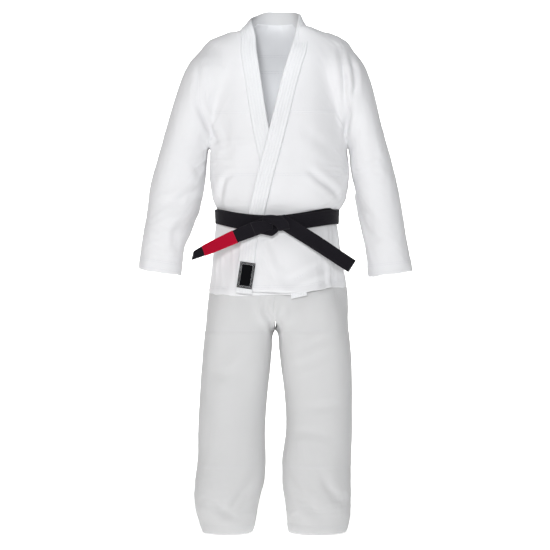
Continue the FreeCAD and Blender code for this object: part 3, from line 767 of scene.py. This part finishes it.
def band_profile(across):
    """How thick the band is over its width: padded between rows of stitching, and rounded at its edges."""
    edge = np.clip(np.minimum(across, 1 - across) / 0.06, 0, 1)
    rounded = np.sqrt(1 - (1 - edge) ** 2)
    stitched = abs(np.sin(across * BAND_ROWS * math.pi)) ** 0.6
    return BAND_THICK * (0.25 + 0.75 * rounded) - 0.9 * (1 - stitched) * rounded


def lapel_band():
    """The collar band as one long strip, up the left front, round the neck and down the right front."""
    left = np.array(band_stations(1)).reshape(-1, 6)
    right = np.array(band_stations(-1)).reshape(-1, 6)
    rows = along_curve(np.vstack([left, right[::-1][1:]]), 5.0)
    across = np.linspace(0, 1, 37)
    grid = []
    for row in rows:
        inner, outer = row[:3], row[3:]
        level = (1 - across) * inner[2] + across * outer[2]
        x = (1 - across) * inner[0] + across * outer[0]
        y = (1 - across) * inner[1] + across * outer[1]
        side = 1 if row[3] > row[0] else -1
        on_front = (1 - step(inner[2], 1330, 1396)) * (inner[1] < 0)
        y = (1 - on_front) * y + on_front * front_y(x, level, 1.5, lift_of(side))
        grid.append(np.stack([x, y, level], 1))
    grid = world(grid)
    down = np.gradient(grid, axis=0)
    sideways = np.gradient(grid, axis=1)
    normal = np.cross(down, sideways)
    normal /= np.linalg.norm(normal, axis=2)[..., None]
    middle_of_neck = np.array([0, 0.02, 0])
    flip = np.einsum("ijk,ijk->ij", normal, grid - middle_of_neck) < 0
    normal[flip] *= -1
    top = grid + normal * (band_profile(across) * MM)[None, :, None]
    return grid, normal, top


def sheet_between(name, low, high):
    """A closed piece between two grids of the same size."""
    rows, columns = low.shape[:2]
    points = list(low.reshape(-1, 3)) + list(high.reshape(-1, 3))
    faces, size = [], rows * columns

    def at(i, j, layer):
        return layer * size + i * columns + j

    for i in range(rows - 1):
        for j in range(columns - 1):
            faces.append((at(i, j, 1), at(i, j + 1, 1), at(i + 1, j + 1, 1), at(i + 1, j, 1)))
            faces.append((at(i, j, 0), at(i + 1, j, 0), at(i + 1, j + 1, 0), at(i, j + 1, 0)))
    for i in range(rows - 1):
        for j, order in ((0, 1), (columns - 1, -1)):
            faces.append((at(i, j, 0), at(i, j, 1), at(i + 1, j, 1), at(i + 1, j, 0))[::order])
    for j in range(columns - 1):
        for i, order in ((0, 1), (rows - 1, -1)):
            faces.append((at(i, j, 0), at(i, j + 1, 0), at(i, j + 1, 1), at(i, j, 1))[::order])
    thing = link(name, points, faces)
    outward(thing)
    thing.data.polygons.foreach_set("use_smooth", [True] * len(thing.data.polygons))
    return thing


# ---------------------------------------------------------------- sewing


def tree_of(thing):
    graph = bpy.context.evaluated_depsgraph_get()
    return BVHTree.FromObject(thing, graph)


def cast(tree, starts, ways):
    """Where rays meet a surface, and which way it faces there, back along the ray. Misses are left out."""
    points, normals = [], []
    for start, way in zip(starts, ways):
        hit, normal, _, _ = tree.ray_cast(Vector(start), Vector(way).normalized())
        if hit is not None:
            points.append(hit)
            normals.append(normal if normal.dot(Vector(way)) < 0 else -normal)
    return np.array(points), np.array(normals)


def lay(tree, way, x=0.0, y=0.0, level=0.0):
    """A line laid on a surface by looking along way, which is one of the frame's own directions."""
    x, y, level = np.broadcast_arrays(*(np.asarray(v, float) for v in (x, y, level)))
    way = np.array(way, float)
    starts = np.stack([x * MM, y * MM, height(level)], 1) * (1 - abs(way)) - way * 0.6
    return cast(tree, starts, np.tile(way, (len(starts), 1)))


def ring_line(tree, centre, across, away, start=0.0, end=2 * math.pi, radius=0.1):
    """A line round a tube, found from outside. Angles run from across towards away."""
    turns = np.linspace(start, end, 140)
    centre, across, away = (np.array(v, float) for v in (centre, across, away))
    out = np.cos(turns)[:, None] * across + np.sin(turns)[:, None] * away
    return cast(tree, centre + out * radius, -out)


def resample(points, normals, spacing):
    run = np.concatenate([[0], np.cumsum(np.linalg.norm(np.diff(points, axis=0), axis=1))])
    wanted = np.arange(spacing / 2, run[-1], spacing)
    both = np.hstack([points, normals])
    found = np.stack([np.interp(wanted, run, both[:, k]) for k in range(6)], 1)
    return found[:, :3], found[:, 3:]


THREAD = {"pitch": 0.0042, "length": 0.0031, "width": 0.0008, "rise": 0.0005}
BORDER = {"pitch": 0.0017, "length": 0.0021, "width": 0.0008, "rise": 0.0004}


def sewn(name, lines, material, slot, pitch, length, width, rise):
    """Rows of stitches as one piece. Each stitch is a small spindle lying on the cloth."""
    points, faces = [], []
    for line, normals in lines:
        if len(line) < 3:
            continue
        line, normals = resample(line, normals, pitch)
        along = np.gradient(line, axis=0)
        along /= np.linalg.norm(along, axis=1)[:, None].clip(1e-9)
        normals = normals / np.linalg.norm(normals, axis=1)[:, None].clip(1e-9)
        beside = np.cross(along, normals)
        for p, a, n, b in zip(line, along * length / 2, normals * rise, beside * width / 2):
            first = len(points)
            points += [p - a, p + a, p + b, p + n, p - b]
            for u, v in ((2, 3), (3, 4), (4, 2)):
                faces.append((first, first + u, first + v))
                faces.append((first + 1, first + v, first + u))
    thing = link(name, points, faces)
    outward(thing)
    paint(thing, material)
    return thing


def raise_cloth(thing, share, amount):
    """Lifts part of a cloth along its own directions, as a second layer sewn on it does."""
    co = places(thing)
    put(thing, co + directions(thing) * (share(co) * amount)[:, None])


def laid_sheet(name, x, level, way, gap, thick):
    """One layer laid on both halves of the jacket, and gap off them, on the side that way comes from."""
    trees = {side: tree_of(jacket[word]) for word, side in SIDES.items()}
    start = 0.01 if way > 0 else 0.6
    depth = np.full(x.shape, np.nan)
    for place, (across, up) in enumerate(zip(x.ravel(), level.ravel())):
        side = 1 if across >= 0 else -1
        origin = Vector((side * max(abs(across), 2.0) * MM, start, height(up)))
        hit = trees[side].ray_cast(origin, Vector((0, way, 0)))[0]
        if hit is not None:
            depth.flat[place] = hit.y
    for line in (*depth, *depth.T):
        known = np.flatnonzero(~np.isnan(line))
        if len(known):
            line[:] = np.interp(np.arange(len(line)), known, line[known])
    for _ in range(6):
        inner = (depth[:-2] + depth[2:]) / 2
        depth[1:-1] = (depth[1:-1] + inner) / 2
    near = np.stack([x * MM, depth - way * gap, height(level)], -1)
    far = near - np.array([0, way * thick, 0])
    return sheet_between(name, near, far)


def yoke_lining():
    """The lining behind the neck and shoulders, inside the back, with two rows of stitching."""
    level = np.linspace(1463, 1120, 84)
    half = np.interp(level, [1120, 1340, 1380, 1400, 1434, 1463], [146, 146, 138, 112, 78, 50])
    across = np.linspace(-1, 1, 61)
    x, level = np.broadcast_arrays(half[:, None] * across, level[:, None])
    lining = laid_sheet("lining", x, level, 1, 0.003, 0.0012)
    # The lining's colour is painted brighter to stand in for light inside the neck.
    dress(lining_cotton_painted_bright, "jacket_cotton", "jacket", lining)
    tree, lines = tree_of(lining), []
    for up in (1378, 1334):
        for drop in (0, 6):
            along = np.linspace(-100, 100, 90)
            points, normals = cast(
                tree,
                np.stack([along * MM, np.full(90, 0.0), np.full(90, height(up - drop))], 1),
                np.tile([0.0, 1.0, 0.0], (90, 1)),
            )
            lines.append((points, normals))
    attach(sewn("lining_thread", lines, thread_with_painted_shade, "jacket_cotton", **THREAD), "jacket")


def back_seam():
    """The narrow tape over the seam down the middle of the back."""
    across, level = np.meshgrid(np.linspace(-6, 6, 9), np.linspace(1440, 888, 200))
    tape = laid_sheet("back_seam", across, level, -1, 0.0003, 0.001)
    dress(cotton, "jacket_cotton", "jacket", tape)
    tree = tree_of(tape)
    lines = [lay(tree, (0, -1, 0), x, level=np.linspace(1438, 890, 200)) for x in (-4.4, 4.4)]
    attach(sewn("back_seam_thread", lines, thread_with_painted_shade, "jacket_cotton", **THREAD), "jacket")


# ---------------------------------------------------------------- belt


def ribbed(across, thick, ribs):
    """Half the thickness of stitched webbing over its width, which runs from -1 to 1."""
    edge = np.clip((1 - abs(across)) / 0.09, 0, 1)
    rounded = np.sqrt(1 - (1 - edge) ** 2)
    groove = 1 - abs(np.sin((across + 1) / 2 * ribs * math.pi)) ** 0.5
    return thick / 2 * (0.3 + 0.7 * rounded) - 0.3 * groove * rounded


def strap(name, stations, thick=4.5, ribs=9, start=0.0, end=None, wider=1.0):
    """A flat strip swept through stations: each is its middle, then half its width as a vector."""
    rows = along_curve(stations, 2.5)
    run = np.concatenate([[0], np.cumsum(np.linalg.norm(np.diff(rows[:, :3], axis=0), axis=1))])
    rows = rows[(run >= start) & (run <= (run[-1] if end is None else end))]
    across = np.linspace(-1, 1, 55)
    flat = rows[:, None, :3] + rows[:, None, 3:] * (across * wider)[None, :, None]
    normal = np.cross(np.gradient(flat, axis=0), np.gradient(flat, axis=1))
    normal /= np.linalg.norm(normal, axis=2)[..., None]
    depth = ribbed(across, thick, ribs)[None, :, None]
    return sheet_between(name, world(flat - normal * depth), world(flat + normal * depth))


BELT_HALF = 20.5
# For each turn of the belt: how far it is outside the jacket, then its level at the wearer's right, in
# the middle of the front, at the wearer's left, and in the middle of the back.
WRAPS = {"belt_under": (5.0, 903, 880, 911, 912), "belt_over": (9.6, 902, 877, 901, 908)}


def belt_wrap(name):
    """One turn of the belt round the waist, which the knot pulls down in front."""
    grow, right, front, left, back = WRAPS[name]
    turns = np.linspace(0, 2 * math.pi, 200, endpoint=False)
    x, y = oval(167 + grow, 128 + grow, 121 + grow, TORSO_POWER, 200)
    across = x / (167 + grow)
    ends = (left + right) / 2 + (left - right) / 2 * across
    middle = np.where(y < 0, front, back)
    power = np.where(across < 0, 2.4, 1.3)
    level = ends + (middle - ends) * (1 - abs(across) ** power)
    middle = np.stack([x + 6, y, level], 1)
    lean = np.stack([np.cos(turns) * 0.8, np.sin(turns) * 0.8, np.full(200, BELT_HALF)], 1)
    rows = np.hstack([middle, lean])
    return strap(name, np.vstack([rows[-50:], rows[:151]]), 4.0)


# Each strand's stations: its middle as x, y and level, then half its width as x, y and level.
KNOT_STRANDS = {
    "knot_over": [
        (-34, -148, 889, 1, 2, 11), (-12, -157, 889, 3, 0, 12), (7, -163, 884, 10, -1, 12),
        (20, -163, 874, 15, 0, 8), (25, -157, 860, 16, 2, 2),
    ],
    "knot_under": [
        (-62, -151, 863, -7, 1, 16), (-40, -156, 867, -5, 0, 16), (-22, -158, 871, -3, 1, 13),
        (-6, -153, 873, 0, 2, 9),
    ],
    "knot_fold": [
        (-44, -149, 857, -1, 3, 8), (-25, -154, 854, 0, 2, 8.5), (-8, -157, 851, 1, 2, 8.5),
        (10, -154, 858, 4, 2, 6),
    ],
}
FREE_ENDS = {
    "right": [
        (-14, -147, 880, -8, 0, 18), (-60, -150, 861, -8, 1, 18), (-110, -149, 841, -7.5, 4, 16.6),
        (-170, -146, 814, -6.2, 8, 14.2), (-204, -144, 799, -4, 9, 12.6),
        (-229, -142, 788, 2.6, 11, 11.8),
    ],
    "left": [
        (14, -147, 886, 10.9, 0, 17), (62, -149, 857, 10.9, 1, 17), (122, -147, 819, 10.8, 2, 17),
        (172, -145, 786, 10.6, 3, 16.6), (215, -143, 758, 10.6, 4, 16.4),
    ],
}

# ---------------------------------------------------------------- putting it together

jacket = {word: jacket_half(word) for word in SIDES}
skirts = {
    "jacket_skirt_left": skirt_part("jacket_skirt_left", 1),
    "jacket_skirt_right": skirt_part("jacket_skirt_right", -1),
    "jacket_skirt_back": skirt_part("jacket_skirt_back", 0),
}
trousers = {word: trouser_half(word) for word in SIDES}

forms = [
    wearer(
        "wearer_trunk",
        [level_rings(TORSO, grow=-6), sleeve_rings(1, grow=-8), sleeve_rings(-1, grow=-8)],
    ),
    wearer("wearer_legs", [level_rings(HIPS, grow=-6, power=2.25), leg_rings(1, -7), leg_rings(-1, -7)]),
]

on_sleeve = {}
for word, thing in jacket.items():
    co = places(thing)
    on_sleeve[word] = SIDES[word] * co[:, 0] > gap_middle(SIDES[word], co[:, 2])
    hems = 1 - step(-past_cuff(SIDES[word], co), 0.02, 0.04)
    to_simulate(thing, jacket_pin(word, co), hems * (abs(co[:, 0]) > 0.24), 0.010, 0.5)
for side, thing in zip((1, -1, 0), skirts.values()):
    co = places(thing)
    to_simulate(thing, skirt_pin(side, co), 1 - step(co[:, 2], height(690), height(705)), 0.02, 0.6)
for word, thing in trousers.items():
    co = places(thing)
    hems = 1 - step(co[:, 2], height(45), height(60))
    to_simulate(thing, trouser_pin(word, co), hems, 0.002, 0.4)
settle(forms)

for thing in (jacket["left"], skirts["jacket_skirt_left"]):
    # The left front lies over the right lapel.
    co = places(thing)
    over = front_y(co[:, 0] / MM, levels_of(co), 8.5, 0) * MM
    share = (1 - step(co[:, 0], 0.095, 0.175)) * (co[:, 1] < -0.05)
    co[:, 1] += share * np.minimum(over - co[:, 1], 0)
    put(thing, co)
for word, thing in jacket.items():
    # The gap between the sleeve and the body stays open.
    side, co = SIDES[word], places(thing)
    low = step(-co[:, 2], -height(1125), -height(1085)) * step(co[:, 2], height(950), height(975))
    body, sleeve = gap_edges(side, co[:, 2])
    out = side * co[:, 0]
    wanted = np.where(on_sleeve[word], np.maximum(out, sleeve), np.minimum(out, body))
    co[:, 0] = side * (out + low * (wanted - out))
    put(thing, co)
for thing in trousers.values():
    co = places(thing)
    under = 1 - 0.05 * step(co[:, 2], height(695), height(725))
    co[:, :2] *= under[:, None]
    put(thing, co)

cotton = woven("jacket_weave", (0.75, 0.75, 0.76), 0.95, "grain", 420, 0.35, wear_and_highlight=0.3)
twill = woven("trouser_twill", (0.61, 0.61, 0.61), 0.95, "twill", 190, 0.2, wear_and_highlight=0.3)
band_cotton = woven("lapel_twill", (0.76, 0.765, 0.775), 0.9, "twill", 230, 0.15, wear_and_highlight=0.3)
# The lining is coloured brighter and bluer than the jacket's cotton as painted light, standing in for
# light that does not reach inside the neck.
lining_cotton_painted_bright = woven("lining_twill_painted_bright", (0.91, 0.92, 0.94), 0.95, "twill", 230, 0.1)
# The thread is white, but it is coloured a darker grey-blue here as painted shade along the rows of
# stitching.
thread_with_painted_shade = woven("white_thread_painted_shade", (0.60, 0.61, 0.65), 0.7, "twill", 700, 0.2)
patch_thread = woven("patch_thread", (0.82, 0.83, 0.84), 0.7, "twill", 700, 0.2)
belt_cloth = woven("belt_weave", (0.009, 0.008, 0.011), 0.8, "twill", 260, 0.3, 0.25, 0.03, 0.05, 0.08)
bar_cloth = woven("bar_weave", (0.41, 0.001, 0.022), 0.7, "twill", 260, 0.3, 0.1, 0.02, 0.05, 0.08)
patch_cloth = woven("patch_weave", (0.003, 0.003, 0.004), 0.8, "twill", 300, 0.2, 0.2, 0, 0, 0.05)


def jacket_lines(word, thing, tree):
    """Every seam of one jacket half, as rows of stitching."""
    side, lines = SIDES[word], []
    for level in (1193, 1187):
        first = edge_x(side, level) + LAPEL_WIDTH + 3
        x = np.linspace(first, 172, 60)
        lines.append(lay(tree, (0, 1, 0), side * x, level=level + 7 * ((x - first) / 120) ** 2))
    for level in (1018, 1012):
        x = np.linspace(edge_x(side, level) + LAPEL_WIDTH + 3, 188, 80)
        lines.append(lay(tree, (0, 1, 0), side * x, level=level))
        lines.append(lay(tree, (0, -1, 0), side * np.linspace(0, 188, 80), level=level))
    for level in (1268, 1262):
        lines.append(lay(tree, (0, -1, 0), side * np.linspace(0, 182, 80), level=level))
    seam = smooth_rows([(200, 1352), (214, 1318), (219, 1270), (217, 1222), (207, 1182), (194, 1156)])
    for way in ((0, 1, 0), (0, -1, 0)):
        for inset in (0, 6):
            lines.append(lay(tree, way, side * (seam[:, 0] - inset), level=seam[:, 1]))
    along = sleeve_way(side)
    co = places(thing)
    edge = np.percentile(past_cuff(side, co[side * co[:, 0] > 0.25]), 99)
    cuff = cuff_middle(side)
    across = (-side * along[2], 0, side * along[0])
    for back in (0.007, 0.026, 0.031):
        lines.append(ring_line(tree, cuff + along * (edge - back), across, (0, 1, 0)))
    return lines


def skirt_lines(name, tree):
    lines = []
    side = {"left": 1, "right": -1}.get(name.split("_")[-1], 0)
    way = (0, 1, 0) if side else (0, -1, 0)
    for rise in (12, 18):
        if side:
            x = side * np.linspace(edge_x(side, 690) + LAPEL_WIDTH + 2, 204, 110)
        else:
            x = np.linspace(-204, 204, 160)
        lines.append(lay(tree, way, x, level=hem_level(side, x) + rise))
    for from_vent in (9, 15):
        for flank in (side,) if side else (1, -1):
            y = -from_vent if side else from_vent
            lines.append(lay(tree, (-flank, 0, 0), y=y, level=np.linspace(700, 850, 60)))
    return lines


def trouser_lines(word, tree):
    side, lines = SIDES[word], []
    for level in (14, 20):
        lines.append(ring_line(tree, (side * 0.126, 0, height(level)), (1, 0, 0), (0, 1, 0), radius=0.12))
    for level, bow in ((574, 10), (568, 10), (192, 4), (186, 4)):
        x = np.linspace(26, 214, 90)
        lines.append(lay(tree, (0, 1, 0), side * x, level=level + bow * np.sin((x - 26) / 60)))
    for y in (-6, 6):
        lines.append(lay(tree, (-side, 0, 0), y=y, level=np.linspace(24, 700, 160)))
    return lines


def second_layer(co, low, high, front, reach):
    """1 where a second layer of cloth is sewn on, and 0 elsewhere. reach is how far out it goes."""
    level = levels_of(co)
    share = step(level, low - 2, low + 2) * (1 - step(level, high - 2, high + 2)) * (abs(co[:, 0]) < reach)
    return share * (1 - step(co[:, 1], -0.012, -0.006)) if front else share


# Folds that lie in the cloth, each a path of x and level in front, its depth and its width.
SLEEVE_FOLDS = {
    "left": [
        ([(184, 1378), (189, 1341), (195, 1277), (198, 1229), (201, 1158), (200, 1120)], 11, 8),
        ([(210, 1362), (222, 1318), (227, 1271), (225, 1240)], 7, 7),
        ([(222, 1262), (213, 1212), (204, 1158), (200, 1130)], 8, 7),
        ([(277, 1111), (282, 1064), (285, 1011)], 3, 10),
        ([(240, 935), (265, 905), (284, 872)], 4, 10),
        ([(248, 893), (282, 840), (301, 846)], 4, 9),
        ([(90, 1031), (126, 1002), (162, 977), (184, 952)], 7, 9),
        ([(70, 1150), (120, 1110), (168, 1085)], 2.5, 16),
    ],
    "right": [
        ([(-221, 1355), (-217, 1300), (-220, 1228), (-208, 1190)], 4, 8),
        ([(-222, 1225), (-197, 1170), (-172, 1120), (-168, 1100)], 8, 9),
        ([(-143, 1190), (-141, 1120), (-134, 1050)], 4, 15),
        ([(-118, 1018), (-143, 1002), (-154, 959), (-155, 915)], 7, 8),
        ([(-232, 1050), (-218, 1026), (-204, 1000)], 4, 9),
        ([(-192, 992), (-257, 957), (-278, 943), (-328, 935)], 7, 10),
        ([(-226, 884), (-268, 869), (-283, 852), (-286, 806)], 6, 11),
        ([(-205, 924), (-268, 901), (-322, 886)], -5, 13),
    ],
}
SKIRT_FOLDS = [([(18, 702), (84, 736), (156, 772)], 5, 11), ([(60, 690), (130, 712), (190, 730)], 3, 12)]
LEG_FOLDS = {
    "left": [
        ([(16, 650), (12, 612), (5, 580), (6, 540)], 9, 8),
        ([(64, 520), (121, 546), (160, 566)], 4, 11),
        ([(40, 470), (96, 486), (170, 520)], 3, 12),
        ([(46, 282), (100, 290), (170, 276)], 3, 12),
        ([(70, 362), (144, 362), (190, 372)], 3, 12),
        ([(32, 172), (84, 90), (130, 52)], 6, 13),
        ([(139, 168), (153, 128), (198, 84)], 5, 12),
    ],
    "right": [
        ([(-24, 676), (-28, 632), (-10, 600), (-4, 545)], 10, 8),
        ([(-18, 560), (-72, 522), (-122, 466), (-138, 382), (-145, 241)], -4, 24),
        ([(-184, 108), (-138, 66), (-96, 110), (-50, 172)], 7, 13),
        ([(-160, 70), (-110, 48), (-70, 84)], 4, 11),
        ([(-196, 470), (-140, 452), (-80, 470)], 2.5, 14),
    ],
}


def finish(thing, folds, thickness, layers, look, lines):
    """Gives settled cloth its folds, thickness, second layers, look and stitches."""
    even_edges(thing)
    for path, depth, width in folds:
        crease(thing, path, depth, width)
    relax(thing, 1, 0.6)
    thicken(thing, thickness)
    for low, high, front, reach, amount in layers:
        raise_cloth(thing, partial(second_layer, low=low, high=high, front=front, reach=reach), amount)
    material, slot, thread_name = look
    paint(thing, material)
    threads = sewn(thread_name, lines(tree_of(thing)), thread_with_painted_shade, slot, **THREAD)
    return thing, threads


for word, thing in jacket.items():
    side = SIDES[word]
    look = (cotton, "jacket_cotton", f"jacket_thread_{word}")
    lines = partial(jacket_lines, word, thing)
    for piece in finish(thing, SLEEVE_FOLDS[word], 0.002, [(1190, 1500, True, 0.19, 0.0012)], look, lines):
        follow(piece, partial(sleeve_share, side))
for name, thing in skirts.items():
    folds = SKIRT_FOLDS if name.endswith("left") else []
    look = (cotton, "jacket_cotton", f"{name}_thread")
    lines = partial(skirt_lines, name)
    for piece in finish(thing, folds, 0.002, [(600, 696, False, 1, 0.0008)], look, lines):
        if name.endswith("back"):
            follow(piece, skirt_share)
        else:
            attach(piece, "jacket")
for word, thing in trousers.items():
    side = SIDES[word]
    look = (twill, "trouser_cotton", f"trouser_thread_{word}")
    layers = [(189, 571, True, 1, 0.0012), (-50, 22, False, 1, 0.0008)]
    lines = partial(trouser_lines, word)
    for piece in finish(thing, LEG_FOLDS[word], 0.0015, layers, look, lines):
        follow(piece, partial(leg_share, side))

yoke_lining()
back_seam()

grid, normal, top = lapel_band()
band = sheet_between("collar_and_lapels", grid, top)
dress(band_cotton, "lapel_cotton", "jacket", band)
rows = [(top[:, column], normal[:, column]) for column in range(3, 36, 6)]
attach(sewn("lapel_thread", rows, thread_with_painted_shade, "lapel_cotton", **THREAD), "jacket")


def lapel_patch():
    """The black patch low on the left lapel, with two stitched white borders and nothing else on it."""
    tilt = math.radians(8.5)
    half = (21.5, 36.5)

    def on_lapel(u, v, out):
        x = -81 + u * math.cos(tilt) + v * math.sin(tilt)
        level = 733 - u * math.sin(tilt) + v * math.cos(tilt)
        return world(np.stack([x, front_y(x, level, 6.8 + out, OVERLAP), level], -1))

    u, v = np.meshgrid(np.linspace(-half[0], half[0], 24), np.linspace(-half[1], half[1], 40))
    patch = sheet_between("lapel_label", on_lapel(u, v, 0), on_lapel(u, v, 1.2))
    dress(patch_cloth, "patch_black", "jacket", patch)
    lines = []
    for inset in (3.0, 6.0):
        a, b = half[0] - inset, half[1] - inset
        corners = np.array([(-a, -b), (a, -b), (a, b), (-a, b), (-a, -b)])
        path = np.vstack([np.linspace(p, q, 40) for p, q in zip(corners, corners[1:])])
        wave = 0.35 * np.sin(np.arange(len(path)) * 0.9)
        line = on_lapel(path[:, 0] + wave, path[:, 1] + wave, 1.25)
        lines.append((line, np.tile([0.0, -1.0, 0.0], (len(line), 1))))
    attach(sewn("lapel_label_border", lines, patch_thread, "patch_white", **BORDER), "jacket")


lapel_patch()
dress(belt_cloth, "belt_black", "jacket", *(belt_wrap(name) for name in WRAPS))
dress(belt_cloth, "belt_black", "jacket", *(strap(name, rows) for name, rows in KNOT_STRANDS.items()))
for word, stations in FREE_ENDS.items():
    dress(belt_cloth, "belt_black", f"{word}_belt_end", strap(f"belt_free_end_{word}", stations))
bar = strap("rank_bar_cloth", FREE_ENDS["right"], thick=7.0, ribs=0.001, start=104, end=202, wider=1.05)
dress(bar_cloth, "rank_bar_crimson", "right_belt_end", bar)

# ---------------------------------------------------------------- room, light and camera


def room():
    bend = [(3 + 1.5 * math.sin(t), 1.5 - 1.5 * math.cos(t)) for t in np.linspace(0, math.pi / 2, 24)]
    profile = [(-7, 0), *bend, (4.5, 7)]
    points = [(x, y, z + height(-4)) for x in (-8, 8) for y, z in profile]
    count = len(profile)
    floor = link("floor", points, [(k, k + count, k + count + 1, k + 1) for k in range(count - 1)])
    floor.data.polygons.foreach_set("use_smooth", [True] * (count - 1))
    floor_paint = bpy.data.materials.new("floor_paint")
    floor_paint.use_nodes = True
    shader = floor_paint.node_tree.nodes["Principled BSDF"]
    shader.inputs["Base Color"].default_value = (0.93, 0.93, 0.93, 1)
    shader.inputs["Roughness"].default_value = 0.9
    shader.inputs["Emission Color"].default_value = (1, 1, 1, 1)
    shader.inputs["Emission Strength"].default_value = 0.6
    paint(floor, floor_paint)
    world_paint = bpy.data.worlds.new("room")
    bpy.context.scene.world = world_paint
    world_paint.use_nodes = True
    world_paint.node_tree.nodes["Background"].inputs["Color"].default_value = (1, 1, 1, 1)
    world_paint.node_tree.nodes["Background"].inputs["Strength"].default_value = 0.8
    world_paint.cycles_visibility.diffuse = False
    world_paint.cycles_visibility.glossy = False


def lamp(name, place, target, size, power, color=(1, 1, 1), spread=180):
    light = bpy.data.lights.new(name, "AREA")
    light.shape = "DISK"
    light.size = size
    light.energy = power
    light.color = color
    light.spread = math.radians(spread)
    thing = bpy.data.objects.new(name, light)
    bpy.context.scene.collection.objects.link(thing)
    thing.location = place
    thing.rotation_euler = (Vector(target) - Vector(place)).to_track_quat("-Z", "Y").to_euler()


def camera():
    lens = bpy.data.cameras.new("camera")
    lens.lens = 100
    lens.sensor_width = 36
    thing = bpy.data.objects.new("camera", lens)
    bpy.context.scene.collection.objects.link(thing)
    far = 1.54 / 36 * 100
    thing.location = (-0.0, -far - 0.12, -0.694)
    thing.rotation_euler = (math.radians(90), 0, 0)
    bpy.context.scene.camera = thing


bpy.context.scene.view_settings.view_transform = "Standard"

REPLACED = {
    "jacket_skirt_back": ["back_flap", "vent_tape_left", "vent_tape_right"],
    "collar_and_lapels": [
        "collar_band",
        "collar_core",
        "lapel_left",
        "lapel_right",
        "lapel_core_left",
        "lapel_core_right",
    ],
    "lining": ["yoke_lining"],
    "back_seam": ["back_waist"],
    "belt_under": ["belt_inner_wrap"],
    "belt_over": ["belt_outer_wrap"],
    "knot_over": ["belt_knot"],
    "rank_bar_cloth": ["rank_bar"],
    "lapel_label": ["lapel_patch"],
    "lapel_label_border": ["lapel_patch_border"],
    "trousers_left": ["trouser_front", "crotch_gusset"],
    "trousers_right": ["trouser_seat"],
    "jacket_left": ["back_panel"],
    "jacket_right": [],
}
JACKET_NODES = (
    "front_panel",
    "shoulder_patch",
    "armpit_gusset",
    "sleeve_front",
    "sleeve_back",
    "cuff_tape",
)
TROUSER_NODES = ("leg_front", "leg_back", "knee_patch", "leg_hem_tape")
for word in SIDES:
    REPLACED[f"jacket_{word}"] += [f"{node}_{word}" for node in JACKET_NODES]
    REPLACED[f"trousers_{word}"] += [f"{node}_{word}" for node in TROUSER_NODES]
    REPLACED[f"jacket_skirt_{word}"] = [f"front_skirt_{word}"]
    REPLACED[f"belt_free_end_{word}"] = [f"belt_end_{word}"]
for name, hidden in REPLACED.items():
    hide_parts(*hidden)
for name in ("waistband", "drawstring", "drawstring_loops"):
    for slot in bpy.data.objects[name].material_slots:
        slot.material = twill

room()
lamp("key", (-2.9, -2.3, 0.8), (0, 0, -0.6), 1.2, 13, (1.0, 0.95, 0.90))
lamp("top", (0.2, -1.5, 2.4), (0, 0.1, -0.1), 1.6, 27, (0.97, 0.98, 1.0))
lamp("front", (-0.3, -4.15, 0.2), (0, 0, -0.5), 0.8, 86, (0.975, 0.985, 1.0))
lamp("neck", (0, -1.1, 0.5), (0, 0.03, -0.11), 0.12, 0.035, (0.96, 0.98, 1.0), 18)
lamp("backdrop", (0, 2.4, 2.4), (0, 4.0, -0.6), 2.4, 70, spread=110)
lamp("back", (1.2, 4.0, 1.6), (0, 0, -0.5), 1.6, 24, (0.975, 0.985, 1.0))
camera()
